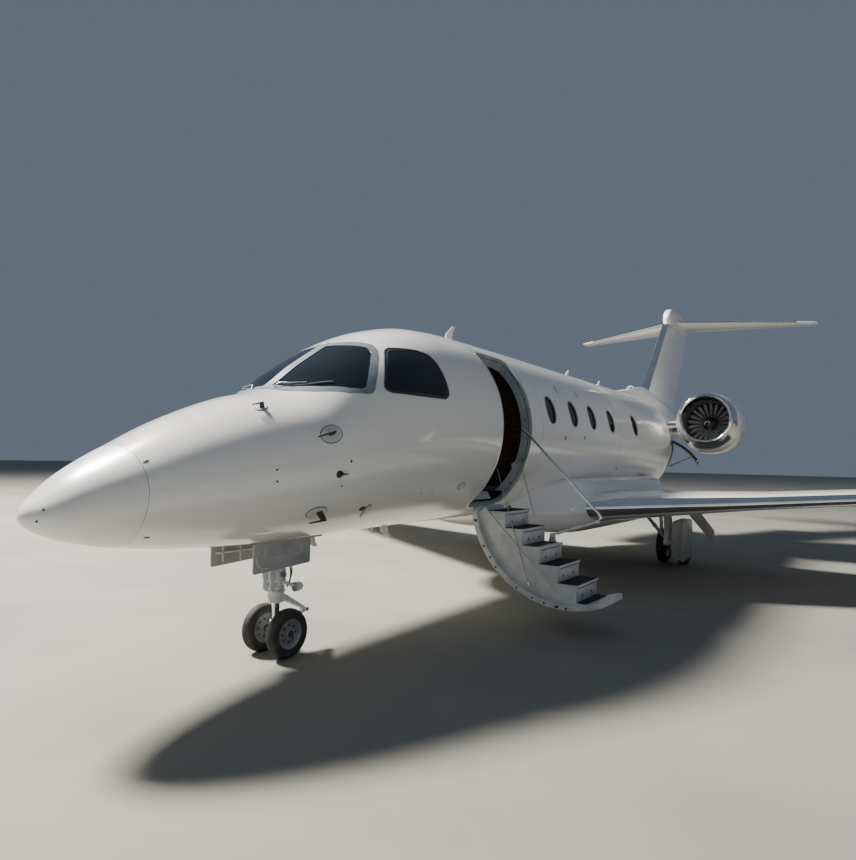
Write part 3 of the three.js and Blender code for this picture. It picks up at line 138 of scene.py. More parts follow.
# Finishes: colour patches, fine grain in the bump, and a roughness that varies with the patches.
# slot, colour, worn colour, patches per metre, least and most roughness, grain per metre, its height, and the rest
looks = {
    "concrete": (None, studio["floor"], (0.22, 0.217, 0.2), 0.35, (0.75, 0.95), 30, 0.15, {}),
    "whitePaint": ("white_paint", (0.86, 0.855, 0.83), (0.79, 0.78, 0.75), 0.8, (0.16, 0.27), 260, 0.012,
        {"stretch": (0.25, 1, 1.6), "coat": 0.8}),
    "radomePaint": ("composite_white", (0.85, 0.845, 0.82), (0.79, 0.78, 0.75), 1.5, (0.24, 0.36), 420, 0.02,
        {"coat": 0.35}),
    "cowlPaint": ("composite_white", (0.74, 0.73, 0.7), (0.66, 0.64, 0.6), 2.2, (0.18, 0.3), 300, 0.012,
        {"stretch": (0.2, 1, 1), "coat": 0.7}),
    "gearPaint": ("gear_paint", (0.78, 0.79, 0.79), (0.5, 0.49, 0.46), 9, (0.28, 0.5), 180, 0.05,
        {"share": 0.35, "coat": 0.3}),
    "gearDoorPaint": ("gear_door_paint", (0.4, 0.415, 0.42), (0.33, 0.335, 0.33), 4, (0.34, 0.5), 200, 0.03,
        {"coat": 0.25}),
    "stairPaint": ("stair_trim", (0.42, 0.475, 0.51), (0.33, 0.37, 0.39), 5, (0.3, 0.46), 160, 0.04, {"coat": 0.3}),
    "stairLight": ("stair_trim", (0.62, 0.645, 0.65), (0.5, 0.51, 0.5), 6, (0.32, 0.5), 160, 0.04, {"coat": 0.2}),
    "polishedSkin": ("polished_lip", (0.8, 0.81, 0.83), (0.7, 0.71, 0.73), 3, (0.05, 0.14), 240, 0.008, {"metal": 1}),
    "chrome": ("handrail", (0.86, 0.86, 0.86), (0.74, 0.74, 0.75), 14, (0.05, 0.16), 300, 0.01, {"metal": 1}),
    "wheelPaint": ("wheel_metal", (0.34, 0.35, 0.36), (0.18, 0.17, 0.16), 16, (0.3, 0.52), 240, 0.05,
        {"share": 0.4, "metal": 0.45}),
    "steel": ("wheel_metal", (0.42, 0.43, 0.44), (0.24, 0.24, 0.25), 20, (0.26, 0.48), 300, 0.04, {"metal": 0.9}),
    "titanium": ("engine_metal", (0.33, 0.32, 0.31), (0.2, 0.17, 0.15), 7, (0.22, 0.42), 220, 0.03, {"metal": 1}),
    "bladeMetal": ("fan_metal", (0.62, 0.63, 0.64), (0.5, 0.51, 0.52), 11, (0.25, 0.4), 260, 0.02, {"metal": 0.35}),
    # near-black painted shade for the inside of the engine duct, on a part whose slot is white composite
    "ductPaintedShade": ("composite_white", (0.035, 0.036, 0.04), (0.06, 0.06, 0.065), 6, (0.28, 0.5), 200, 0.05, {}),
    "rubber": ("dark_trim", (0.022, 0.022, 0.023), (0.055, 0.052, 0.048), 12, (0.55, 0.85), 340, 0.12, {}),
    "seal": ("dark_trim", (0.03, 0.03, 0.032), (0.05, 0.05, 0.05), 15, (0.5, 0.75), 300, 0.06, {}),
    "frameGrey": ("dark_trim", (0.27, 0.3, 0.33), (0.21, 0.235, 0.26), 8, (0.22, 0.38), 260, 0.02,
        {"metal": 0.35, "coat": 0.2}),
    "grip": ("dark_trim", (0.014, 0.014, 0.015), (0.04, 0.04, 0.04), 9, (0.8, 0.95), 900, 0.6, {}),
    "darkTrim": ("dark_trim", (0.03, 0.031, 0.034), (0.045, 0.045, 0.048), 9, (0.45, 0.7), 420, 0.08, {}),
    "cabinTrim": ("cabin_trim", (0.36, 0.32, 0.27), (0.3, 0.26, 0.22), 3, (0.35, 0.55), 240, 0.04, {}),
    "veneer": ("cabin_trim", (0.09, 0.05, 0.03), (0.045, 0.025, 0.016), 6, (0.16, 0.3), 90, 0.02,
        {"stretch": (1, 1, 7), "coat": 0.8}),
    "leather": ("seat_leather", (0.5, 0.42, 0.32), (0.42, 0.34, 0.26), 5, (0.4, 0.62), 260, 0.25, {"cells": True}),
    "carpet": ("carpet", (0.12, 0.1, 0.095), (0.075, 0.065, 0.06), 30, (0.9, 1.0), 700, 0.9, {"sheen": 0.4}),
    "lining": ("cabin_trim", (0.1, 0.095, 0.09), (0.07, 0.065, 0.06), 4, (0.6, 0.8), 200, 0.08, {}),
}


def makeFinish(name, slot, color, worn, patch, rough, grain, height, share=0.5, stretch=(1, 1, 1), metal=0, coat=0,
        sheen=0, cells=False):
    material = bpy.data.materials.new(name)
    material.use_nodes = True
    nodes, links = material.node_tree.nodes, material.node_tree.links
    shader = nodes["Principled BSDF"]
    place = nodes.new("ShaderNodeTexCoord")
    spread = nodes.new("ShaderNodeMapping")
    spread.inputs["Scale"].default_value = stretch
    links.new(place.outputs["Object"], spread.inputs["Vector"])
    patches = nodes.new("ShaderNodeTexNoise")
    patches.inputs["Scale"].default_value = patch
    patches.inputs["Detail"].default_value = 6
    links.new(spread.outputs["Vector"], patches.inputs["Vector"])
    tint = nodes.new("ShaderNodeValToRGB")
    tint.color_ramp.elements[0].position = share - 0.14
    tint.color_ramp.elements[0].color = (*worn, 1)
    tint.color_ramp.elements[1].position = share + 0.12
    tint.color_ramp.elements[1].color = (*color, 1)
    links.new(patches.outputs["Fac"], tint.inputs["Fac"])
    links.new(tint.outputs["Color"], shader.inputs["Base Color"])
    gloss = nodes.new("ShaderNodeMapRange")
    gloss.inputs["To Min"].default_value = rough[1]
    gloss.inputs["To Max"].default_value = rough[0]
    links.new(patches.outputs["Fac"], gloss.inputs["Value"])
    links.new(gloss.outputs["Result"], shader.inputs["Roughness"])
    fine = nodes.new("ShaderNodeTexVoronoi" if cells else "ShaderNodeTexNoise")
    fine.inputs["Scale"].default_value = grain
    links.new(place.outputs["Object"], fine.inputs["Vector"])
    bump = nodes.new("ShaderNodeBump")
    bump.inputs["Strength"].default_value = height
    bump.inputs["Distance"].default_value = 0.002
    links.new(fine.outputs[0], bump.inputs["Height"])
    links.new(bump.outputs["Normal"], shader.inputs["Normal"])
    shader.inputs["Metallic"].default_value = metal
    shader.inputs["Coat Weight"].default_value = coat
    shader.inputs["Coat Roughness"].default_value = 0.06
    shader.inputs["Sheen Weight"].default_value = sheen
    finishes[name], slotOf[name] = material, slot
    return shader


# Glass: its tint, and the share of the light that it lets through
glasses = {
    "cockpitGlass": ((0.03, 0.045, 0.065), 0.72), "cabinGlass": ((0.08, 0.09, 0.10), 0.75),
    "lampGlass": ((0.9, 0.92, 0.92), 0.95), "redGlass": ((0.5, 0.02, 0.02), 0.6),
    "greenGlass": ((0.02, 0.4, 0.1), 0.6),
}
for title, (*row, more) in looks.items():
    makeFinish(title, *row, **more)
for title, (tint, clear) in glasses.items():
    shader = makeFinish(title, "glazing", tint, tuple(0.8 * c for c in tint), 4, (0.01, 0.05), 60, 0.004)
    shader.inputs["Transmission Weight"].default_value = clear
    shader.inputs["IOR"].default_value = 1.45
makeCamera()
makeStudio()
print("finishes and studio made:", len(finishes), "finishes")


# Shared ways of making a piece

def keep(bm, name, finish, body="airframe", slot=None, sharp=35, turned=True):
    if turned:
        bmesh.ops.recalc_face_normals(bm, faces=bm.faces)
    piece = bpy.data.objects.new(name, bpy.data.meshes.new(name))
    bm.to_mesh(piece.data)
    bm.free()
    bpy.context.scene.collection.objects.link(piece)
    titles = [finish] if isinstance(finish, str) else finish
    for title in titles:
        piece.data.materials.append(finishes[title])
    piece.data.polygons.foreach_set("use_smooth", [True] * len(piece.data.polygons))
    piece.data.set_sharp_from_angle(angle=radians(sharp))
    if body:
        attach(piece, body)
        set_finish(piece, slot or slotOf[titles[0]])
    return piece


# Faces that pass a test get another of the piece's finishes
def marked(piece, test, index=1):
    for face in piece.data.polygons:
        if test(face.center):
            face.material_index = index
    return piece


def bake(piece):
    bpy.context.view_layer.update()
    graph = bpy.context.evaluated_depsgraph_get()
    mesh = bpy.data.meshes.new_from_object(piece.evaluated_get(graph))
    piece.modifiers.clear()
    old, piece.data = piece.data, mesh
    bpy.data.meshes.remove(old)
    return piece


def carve(piece, tool, way="DIFFERENCE"):
    cutter = bpy.data.objects.new("tool", bpy.data.meshes.new("tool"))
    bmesh.ops.recalc_face_normals(tool, faces=tool.faces)
    tool.to_mesh(cutter.data)
    tool.free()
    bpy.context.scene.collection.objects.link(cutter)
    change = piece.modifiers.new("cut", "BOOLEAN")
    change.operation, change.solver, change.object = way, "EXACT", cutter
    bake(piece)
    bpy.data.objects.remove(cutter)
    return piece


# After a cut, the skin keeps the smooth normals that it had before, and the cut faces stay flat
def matchNormals(piece, source):
    tree = BVHTree.FromBMesh(source)
    source.faces.ensure_lookup_table()
    found, normals = {}, []
    mesh = piece.data
    reach, limit = 0.0008, cos(radians(40))
    for face in mesh.polygons:
        for index in face.vertices:
            if index not in found:
                place, _, near, away = tree.find_nearest(mesh.vertices[index].co)
                found[index] = None
                if away < reach:
                    corners = [v for v in source.faces[near].verts][:3]
                    found[index] = barycentric_transform(place, *(v.co for v in corners),
                        *(v.normal for v in corners)).normalized()
            smooth = found[index]
            if smooth and smooth.dot(face.normal) > limit:
                normals.append(smooth)
            elif smooth and -smooth.dot(face.normal) > limit:
                normals.append(-smooth)
            else:
                normals.append(face.normal)
    mesh.normals_split_custom_set(normals)
    return piece


def skinCopy(bm):
    source = bm.copy()
    bmesh.ops.triangulate(source, faces=source.faces)
    source.normal_update()
    return source


# A grid laid over a surface: place(u, v) runs from 0 to 1 both ways
def mapped(across, along, place, capped=True):
    bm = bmesh.new()
    bmesh.ops.create_grid(bm, x_segments=across, y_segments=along, size=1)
    for v in bm.verts:
        v.co = place((v.co.x + 1) / 2, (v.co.y + 1) / 2)
    bmesh.ops.remove_doubles(bm, verts=bm.verts, dist=1e-5)
    if capped:
        bmesh.ops.holes_fill(bm, edges=[e for e in bm.edges if e.is_boundary])
    bmesh.ops.recalc_face_normals(bm, faces=bm.faces)
    return bm


def catmull(points, t, closed=False):
    count = len(points)
    spans = count if closed else count - 1
    t = min(max(t, 0), 1) * spans
    i = min(int(t), spans - 1)
    t -= i
    pick = (lambda k: points[k % count]) if closed else (lambda k: points[min(max(k, 0), count - 1)])
    a, b, c, d = (pick(i + k) for k in (-1, 0, 1, 2))
    return 0.5 * (2 * b + (c - a) * t + (2 * a - 5 * b + 4 * c - d) * t * t + (3 * b - a - 3 * c + d) * t ** 3)


# A smooth skin through rings of points
def lofted(rings, across, along):
    def place(u, v):
        return catmull([catmull(ring, u, True) for ring in rings], v)
    return mapped(across, along, place)


def softened(bm, geom, offset, segments=2, affect="EDGES"):
    return bmesh.ops.bevel(bm, geom=geom, offset=offset, segments=segments, profile=0.5, affect=affect, material=-1,
        clamp_overlap=True)


# Gives a flat face its depth
def pushed(bm, way):
    made = bmesh.ops.extrude_face_region(bm, geom=bm.faces[:])
    bmesh.ops.translate(bm, verts=[v for v in made["geom"] if isinstance(v, bmesh.types.BMVert)], vec=way)


# A turned body: profile of (radius, distance along), spun about an axis
def spun(bm, profile, centre, axis, steps=64, closed=False, rounding=0):
    axis = Vector(axis).normalized()
    out = axis.orthogonal().normalized()
    centre = Vector(centre)
    verts = [bm.verts.new(centre + axis * along + out * radius) for radius, along in profile]
    edges = [bm.edges.new(pair) for pair in zip(verts, verts[1:])]
    if closed:
        edges.append(bm.edges.new((verts[-1], verts[0])))
    if rounding:
        inner = verts if closed else verts[1:-1]
        made = softened(bm, inner, rounding, affect="VERTICES")
        verts = [v for v in set(verts) | set(made["verts"]) if v.is_valid]
        edges = list({e for v in verts for e in v.link_edges})
    bmesh.ops.spin(bm, geom=verts + edges, cent=centre, axis=axis, angle=2 * pi, steps=steps, use_merge=True)
    bmesh.ops.remove_doubles(bm, verts=bm.verts, dist=2e-5)
    return bm


def moved(bm, matrix):
    bmesh.ops.transform(bm, matrix=matrix, verts=bm.verts)
    return bm


def rolled(angle, axis="X"):
    return Matrix.Rotation(radians(angle), 4, axis)


def blend(bm, part):
    mesh = bpy.data.meshes.new("part")
    part.to_mesh(mesh)
    part.free()
    bm.from_mesh(mesh)
    bpy.data.meshes.remove(mesh)
    return bm


# An outline pushed along the third direction of a frame, its long edges softened
def plate(bm, outline, depth, matrix, soft=0.0, corner=0.0, segments=3):
    part = bmesh.new()
    verts = [part.verts.new((u, v, 0)) for u, v in outline]
    part.faces.new(verts)
    if corner:
        softened(part, verts, corner, segments, "VERTICES")
    pushed(part, (0, 0, depth))
    bmesh.ops.recalc_face_normals(part, faces=part.faces)
    if soft:
        edges = [e for e in part.edges if abs(e.verts[0].co.z - e.verts[1].co.z) < 1e-6]
        softened(part, edges, soft)
    return blend(bm, moved(part, matrix))


def basis(origin, right, up):
    right, up = Vector(right).normalized(), Vector(up)
    up = (up - right * up.dot(right)).normalized()
    out = right.cross(up)
    return placed(origin) @ Matrix((right, up, out)).transposed().to_4x4()


def block(bm, low, high, soft=0.004):
    low, high = (Vector([pick(pair) for pair in zip(low, high)]) for pick in (min, max))
    made = bmesh.ops.create_cube(bm, size=1)["verts"]
    size = high - low
    bmesh.ops.transform(bm, matrix=placed((low + high) / 2) @ Matrix.Diagonal((*size, 1)), verts=made)
    if soft:
        edges = list({e for v in made for e in v.link_edges})
        softened(bm, edges, soft)
    return bm


# A straight bar with rounded rims, between two points
def bar(bm, a, b, radius, end=None, sides=20, soft=0.15):
    a, b = Vector(a), Vector(b)
    end = radius if end is None else end
    length = (b - a).length
    edge = min(radius, end, length / 2) * soft
    profile = [(0, 0), (radius - edge, 0), (radius, edge), (end, length - edge), (end - edge, length), (0, length)]
    return spun(bm, profile, a, b - a, steps=sides)


# Tubes and beads that follow points; each has its own radius
def lines(name, runs, finish, body="airframe", smooth=True, sides=4, loop=False):
    curve = bpy.data.curves.new(name, "CURVE")
    curve.dimensions = "3D"
    curve.bevel_depth = 1
    curve.bevel_resolution = sides
    curve.resolution_u = 6
    curve.use_fill_caps = True
    for points, radius in runs:
        spline = curve.splines.new("BEZIER" if smooth else "POLY")
        spots = spline.bezier_points if smooth else spline.points
        spots.add(len(points) - 1)
        for spot, point in zip(spots, points):
            spot.co = Vector(point) if smooth else (*point, 1)
            spot.radius = radius
            if smooth:
                spot.handle_left_type = spot.handle_right_type = "AUTO"
        spline.use_cyclic_u = loop
        spline.use_smooth = True
    piece = bpy.data.objects.new(name, curve)
    bpy.context.scene.collection.objects.link(piece)
    piece.data.materials.append(finishes[finish])
    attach(piece, body)
    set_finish(piece, slotOf[finish])
    return piece


# A dressed copy of a CAD node, in its own place
def refined(node, finish):
    source = frame["nodes"][node]
    bm = bmesh.new()
    bm.from_mesh(source.data)
    bmesh.ops.remove_doubles(bm, verts=bm.verts, dist=1e-5)
    bmesh.ops.dissolve_limit(bm, angle_limit=radians(0.5), verts=bm.verts, edges=bm.edges)
    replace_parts(keep(bm, node + "_dressed", finish, bodyOf[node], turned=False), node)


# Fuselage

hull = {
    # station, crown, keel, half width, waist, shoulder power
    "rows": [(0, 1.446, 1.446, 0, 1.446, 2), (0.03, 1.514, 1.393, 0.108, 1.449, 2),
        (0.1, 1.576, 1.34, 0.206, 1.458, 2), (0.3, 1.74, 1.259, 0.362, 1.505, 2), (0.65, 1.948, 1.181, 0.541, 1.6, 2),
        (1.1, 2.192, 1.125, 0.702, 1.7, 2), (1.65, 2.41, 1.096, 0.852, 1.8, 2.05),
        (2.03, 2.515, 1.09, 0.936, 1.87, 2.15), (2.45, 2.812, 1.096, 1.018, 1.96, 2.3),
        (2.9, 3.092, 1.106, 1.071, 2.05, 2.35), (3.4, 3.312, 1.114, 1.119, 2.15, 2.2),
        (3.95, 3.436, 1.119, 1.154, 2.23, 2.05), (4.6, 3.477, 1.12, 1.176, 2.285, 2), (5.2, 3.48, 1.12, 1.18, 2.3, 2),
        (11.6, 3.48, 1.12, 1.18, 2.3, 2), (12.2, 3.478, 1.14, 1.16, 2.308, 2), (13, 3.462, 1.235, 1.03, 2.35, 2),
        (14, 3.425, 1.465, 0.83, 2.445, 2), (15.5, 3.345, 1.925, 0.57, 2.635, 2), (16.8, 3.24, 2.38, 0.34, 2.81, 2),
        (17.85, 3.12, 2.79, 0.16, 2.955, 2)],
    "radius": 1.18, "waist": 2.3, "wall": 0.06, "around": 144,
    "radomeEnd": 0.65, "cockpitEnd": 4.38, "cabinEnd": 11.9, "tailEnd": 17.85, "tipBack": 0.045,
}
doorway = {"from": 4.65, "to": 5.4, "low": -55.5, "high": 52, "corner": 0.11, "strips": 36}
glazing = {
    # station, y, z of the corners of each opening on the port side, and of the clear glass inside the frame
    "screen": [(2.034, .022, 2.52), (2.024, .333, 2.493), (2.176, .605, 2.483), (2.383, .82, 2.481),
        (2.556, .911, 2.478), (2.62, .917, 2.51), (2.738, .843, 2.686), (2.891, .728, 2.882), (2.967, .653, 2.972),
        (3.008, .55, 3.047), (2.985, .435, 3.079), (2.927, .209, 3.096), (2.905, .022, 3.094)],
    "screenGlass": [(2.118, .06, 2.56), (2.118, .339, 2.538), (2.255, .6, 2.53), (2.412, .793, 2.529),
        (2.52, .86, 2.526), (2.564, .861, 2.554), (2.656, .803, 2.679), (2.763, .727, 2.811), (2.896, .622, 2.954),
        (2.919, .539, 3.008), (2.884, .435, 3.028), (2.842, .29, 3.04), (2.83, .06, 3.045)],
    "side": [(2.814, .98, 2.512), (3.107, 1.041, 2.509), (3.347, 1.074, 2.51), (3.561, 1.095, 2.515),
        (3.634, 1.087, 2.571), (3.641, 1.059, 2.661), (3.639, .993, 2.807), (3.621, .918, 2.926),
        (3.574, .839, 3.014), (3.443, .781, 3.044), (3.238, .717, 3.04), (3.092, .659, 3.025), (3.022, .672, 2.98),
        (2.896, .79, 2.832), (2.735, .925, 2.58), (2.737, .948, 2.532)],
    "border": 0.045, "corner": 0.05, "bend": radians(25), "inset": 0.006, "glass": 0.02, "proud": 0.0015,
}
cabinWindow = {"stations": [6.07, 6.86, 7.62, 8.5, 9.8], "angle": 15, "width": 0.28, "height": 0.385, "power": 0.85,
    "reach": (0.9, 1.35)}
bayHinge = {"from": (12.72, 1.078, 2.452), "to": (13.56, 0.93, 2.452), "low": 1.74, "high": 2.43, "swing": 62,
    "knuckles": (0.15, 0.7)}
noseBay = {"from": 1.79, "to": 2.62, "half": 0.272}


def monotone(column):
    u = [sqrt(row[0]) for row in hull["rows"]]
    v = [row[column] for row in hull["rows"]]
    step = [b - a for a, b in zip(u, u[1:])]
    slope = [(b - a) / h for a, b, h in zip(v, v[1:], step)]
    tangent = [slope[0]]
    for i in range(1, len(u) - 1):
        if slope[i - 1] * slope[i] <= 0:
            tangent.append(0)
            continue
        w0, w1 = 2 * step[i] + step[i - 1], step[i] + 2 * step[i - 1]
        tangent.append((w0 + w1) / (w0 / slope[i - 1] + w1 / slope[i]))
    tangent.append(slope[-1])

    def value(s):
        spot = sqrt(max(s, 0))
        i = 0
        while i < len(u) - 2 and spot > u[i + 1]:
            i += 1
        t = (spot - u[i]) / step[i]
        return (v[i] * (2 * t ** 3 - 3 * t * t + 1) + v[i + 1] * (3 * t * t - 2 * t ** 3)
            + step[i] * (tangent[i] * (t ** 3 - 2 * t * t + t) + tangent[i + 1] * (t ** 3 - t * t)))
    return value


crown, keel, halfWidth, waist, shoulder = (monotone(column) for column in range(1, 6))


# A point on the hull at a station and an angle up from the port side's waist, in radians
def onHull(s, angle, lift=0.0):
    c, d = cos(angle), sin(angle)
    power = 2 / shoulder(s) if d > 0 else 1
    height = crown(s) - waist(s) if d > 0 else waist(s) - keel(s)
    back = hull["tipBack"] * max(0, 1 - s / hull["radomeEnd"]) ** 2
    return at(s + back, max(halfWidth(s) + lift, 0) * copysign(abs(c) ** power, c),
        waist(s) + max(height + lift, 0) * copysign(abs(d) ** power, d))


def hullBand(start, end, along, lift=0.0, around=None, capped=False, lean=1.0):
    def place(u, v):
        return onHull(start + (end - start) * v ** lean, 2 * pi * u, lift)
    return mapped(around or hull["around"], along, place, capped=capped)


# The outline of a pane, rounded at its corners and pushed both ways along its own normal
def paneTool(corners, corner, shrink=0.0, reach=(0.42, 0.42), mirror=False):
    points = [at(*p) for p in corners]
    if mirror:
        points = [Vector((p.x, -p.y, p.z)) for p in points]
    centre = sum(points, Vector()) / len(points)
    normal = Vector()
    for a, b in zip(points, points[1:] + points[:1]):
        normal += (a - centre).cross(b - centre)
    normal.normalize()
    if normal.z < 0:
        normal.negate()
    bm = bmesh.new()
    verts = []
    for p in points:
        out = p - centre
        out -= normal * out.dot(normal)
        verts.append(bm.verts.new(centre + out * (1 - shrink / out.length) - normal * reach[0]))
    bm.faces.new(verts)
    bent = [v for v, a, b in zip(verts, verts[-1:] + verts[:-1], verts[1:] + verts[:1])
        if (v.co - a.co).angle(b.co - v.co) > glazing["bend"]]
    softened(bm, bent, corner, 5, "VERTICES")
    bmesh.ops.remove_doubles(bm, verts=bm.verts, dist=2e-4)
    pushed(bm, normal * sum(reach))
    return bm


def joined(*parts):
    bm = bmesh.new()
    for part in parts:
        blend(bm, part)
    return bm


# A tall oval prism through the wall at a cabin window
def windowTool(s, grow=0.0, side=1):
    inner, outer = cabinWindow["reach"]
    bm = bmesh.new()
    bmesh.ops.create_circle(bm, cap_ends=True, radius=1, segments=48)
    for v in bm.verts:
        u, w = (copysign(abs(c) ** cabinWindow["power"], c) for c in (v.co.x, v.co.y))
        v.co = (noseTip - s + u * (cabinWindow["width"] / 2 + grow), inner, w * (cabinWindow["height"] / 2 + grow))
    pushed(bm, (0, outer - inner, 0))
    lifted = placed((0, 0, hull["waist"])) @ rolled(cabinWindow["angle"])
    return moved(bm, Matrix.Diagonal((1, side, 1, 1)) @ lifted)


# y and z at a distance from the cabin's axis and an angle up from the waist
def aboutAxis(radius, angle):
    return radius * cos(angle), hull["waist"] + radius * sin(angle)


# The doorway as a rounded patch of the cabin's skin, given depth towards its axis
def doorTool(inset=0.0, inner=0.9, outer=1.35):
    arc = hull["radius"]
    low, high = (radians(doorway[key]) * arc for key in ("low", "high"))
    bm = bmesh.new()
    spots = [(doorway["from"] + inset, low + inset), (doorway["to"] - inset, low + inset),
        (doorway["to"] - inset, high - inset), (doorway["from"] + inset, high - inset)]
    verts = [bm.verts.new((s, a, 0)) for s, a in spots]
    bm.faces.new(verts)
    softened(bm, verts, doorway["corner"], 8, "VERTICES")
    for i in range(1, doorway["strips"]):
        bmesh.ops.bisect_plane(bm, geom=bm.verts[:] + bm.edges[:] + bm.faces[:], plane_no=(0, 1, 0),
            plane_co=(0, low + (high - low) * i / doorway["strips"], 0))
    pushed(bm, (0, 0, 1))
    for v in bm.verts:
        radius = outer if v.co.z > 0.5 else inner
        v.co = at(v.co.x, *aboutAxis(radius, v.co.y / arc))
    return bm


# The doorway's edge at one distance from the cabin's axis, moved in by the inset
def doorLoop(inset, radius):
    corner, turn = doorway["corner"], radians(1) * hull["radius"]
    low, high = doorway["low"] * turn + inset + corner, doorway["high"] * turn - inset - corner
    fore, aft = doorway["from"] + inset + corner, doorway["to"] - inset - corner
    flat = []
    for s, a, start in ((aft, low, 270), (aft, high, 0), (fore, high, 90), (fore, low, 180)):
        angles = [radians(start + i * 11.25) for i in range(9)]
        flat += [(s + corner * cos(t), a + corner * sin(t)) for t in angles]
        if start in (270, 90):
            other = high if start == 270 else low
            flat += [(flat[-1][0], a + (other - a) * i / doorway["strips"]) for i in range(1, doorway["strips"])]
    return [at(s, *aboutAxis(radius, a / hull["radius"])) for s, a in flat]


def bayFrame():
    a, b = at(*bayHinge["from"]), at(*bayHinge["to"])
    return basis(a, b - a, (0, 0, 1)), (b - a).length


def bayTool(inset=0.0):
    matrix, length = bayFrame()
    low, high = (bayHinge[key] - bayHinge["from"][2] for key in ("low", "high"))
    bm = bmesh.new()
    outline = [(inset, low + inset), (length - inset, low + inset), (length - inset, high - inset),
        (inset, high - inset)]
    plate(bm, outline, 0.8, matrix @ placed((0, 0, -0.4)), corner=0.03)
    return bm


def boxTool(low, high):
    bm = bmesh.new()
    return block(bm, low, high, 0)


def shell(name, span, along, tools):
    skin = hullBand(*span, along)
    source = skinCopy(skin)
    piece = keep(skin, name, ["whitePaint", "lining"], None, sharp=60)
    thick = piece.modifiers.new("wall", "SOLIDIFY")
    thick.thickness, thick.offset, thick.use_rim = hull["wall"], -1, True
    thick.material_offset = 1
    thick.material_offset_rim = 0
    bake(piece)
    for group in tools:
        carve(piece, joined(*group))
    matchNormals(piece, source)
    source.free()
    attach(piece, "airframe")
    return piece


def makeFuselage():
    bm = hullBand(0, hull["radomeEnd"] - 0.0015, 48, capped=True, lean=1.7)
    radome = keep(bm, "radome_skin", "radomePaint", sharp=50)
    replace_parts(radome, "radome")

    screens = [paneTool(glazing["screen"], glazing["corner"], mirror=m) for m in (False, True)]
    sides = [paneTool(glazing["side"], glazing["corner"], reach=(0.26, 0.32), mirror=m) for m in (False, True)]
    bay = boxTool(at(noseBay["to"], -noseBay["half"], 0.9), at(noseBay["from"], noseBay["half"], 1.4))
    front = shell("hull_front", (hull["radomeEnd"] + 0.0015, hull["cockpitEnd"]), 92,
        [[screens[0], sides[0]], [screens[1], sides[1]], [bay]])
    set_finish(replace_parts(front, "fuselage_front"), "white_paint")

    windows = [windowTool(s, side=side) for s in cabinWindow["stations"] for side in (1, -1)]
    cabin = shell("hull_cabin", (hull["cockpitEnd"], hull["cabinEnd"]), 60, [[*windows, doorTool()]])
    cabin.data.materials.append(finishes["stairPaint"])

    def onDoorCut(p):
        depth = hull["radius"] - hypot(p.y, p.z - hull["waist"])
        level = doorway["from"] - 0.002 < noseTip - p.x < doorway["to"] + 0.002
        return level and p.y > 0.5 and 0.003 < depth < hull["wall"]
    marked(cabin, onDoorCut, 2)
    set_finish(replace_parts(cabin, "fuselage_cabin"), "white_paint")

    rear = shell("hull_rear", (hull["cabinEnd"], hull["tailEnd"]), 64, [[bayTool()]])
    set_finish(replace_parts(rear, "fuselage_rear"), "white_paint")
    print("fuselage skins made")


# Glass and frames are cut from thin layers of the same smooth skin
def layerPiece(name, span, along, lift, thick, tools, holes, finish, body="airframe"):
    skin = hullBand(*span, along, lift=lift)
    source = skinCopy(skin)
    piece = keep(skin, name, finish, None, sharp=60)
    change = piece.modifiers.new("wall", "SOLIDIFY")
    change.thickness, change.offset = thick, -1
    bake(piece)
    carve(piece, joined(*tools), "INTERSECT")
    if holes:
        carve(piece, joined(*holes))
    matchNormals(piece, source)
    source.free()
    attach(piece, body)
    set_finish(piece, slotOf[finish if isinstance(finish, str) else finish[0]])
    return piece


def makeGlazing():
    span = (1.9, 3.8)
    for side, mirror in (("left", False), ("right", True)):
        def screen(shrink=0.0, key="screen"):
            return paneTool(glazing[key], glazing["corner"], shrink, mirror=mirror)

        def window(shrink=0.0):
            return paneTool(glazing["side"], glazing["corner"], shrink, (0.26, 0.32), mirror)
        glass = layerPiece(f"windscreen_glass_{side}", span, 60, -glazing["inset"], glazing["glass"], [screen(0.004)],
            [], "cockpitGlass")
        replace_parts(glass, f"windscreen_{side}")
        layerPiece(f"windscreen_frame_{side}", span, 60, glazing["proud"], 0.01, [screen(0.002)],
            [screen(0, "screenGlass")], "frameGrey")
        glass = layerPiece(f"side_glass_{side}", span, 60, -glazing["inset"], glazing["glass"], [window(0.004)], [],
            "cockpitGlass")
        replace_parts(glass, f"side_window_{side}")
        layerPiece(f"side_border_{side}", span, 60, -glazing["inset"] + 0.0015, 0.004, [window(0.006)],
            [window(glazing["border"])], "seal")
        layerPiece(f"side_trim_{side}", span, 60, 0.0006, 0.008, [window(0.0015)], [window(0.009)], "frameGrey")
    post = boxTool(at(2.93, -0.026, 2.3), at(2.035, 0.026, 3.3))
    layerPiece("windscreen_post", span, 60, 0.003, 0.008, [post], [], "frameGrey")
    print("cockpit glazing made")


def makeCabinWindows():
    for side, sign in (("left", 1), ("right", -1)):
        span = (5.7, 10.2)
        tools = lambda grow: [windowTool(s, grow, side=sign) for s in cabinWindow["stations"]]
        glass = layerPiece(f"cabin_glass_{side}", span, 3, -0.022, 0.012, tools(-0.004), [], "cabinGlass")
        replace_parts(glass, f"cabin_windows_{side}")
        layerPiece(f"cabin_window_seals_{side}", span, 3, -0.008, 0.024, tools(-0.001), tools(-0.016), "seal")
        layerPiece(f"cabin_window_rims_{side}", span, 3, 0.0012, 0.004, tools(0.009), tools(-0.001), "frameGrey")
    print("cabin windows made")


# Airstair: the panel, its steps, the rail and the door frame

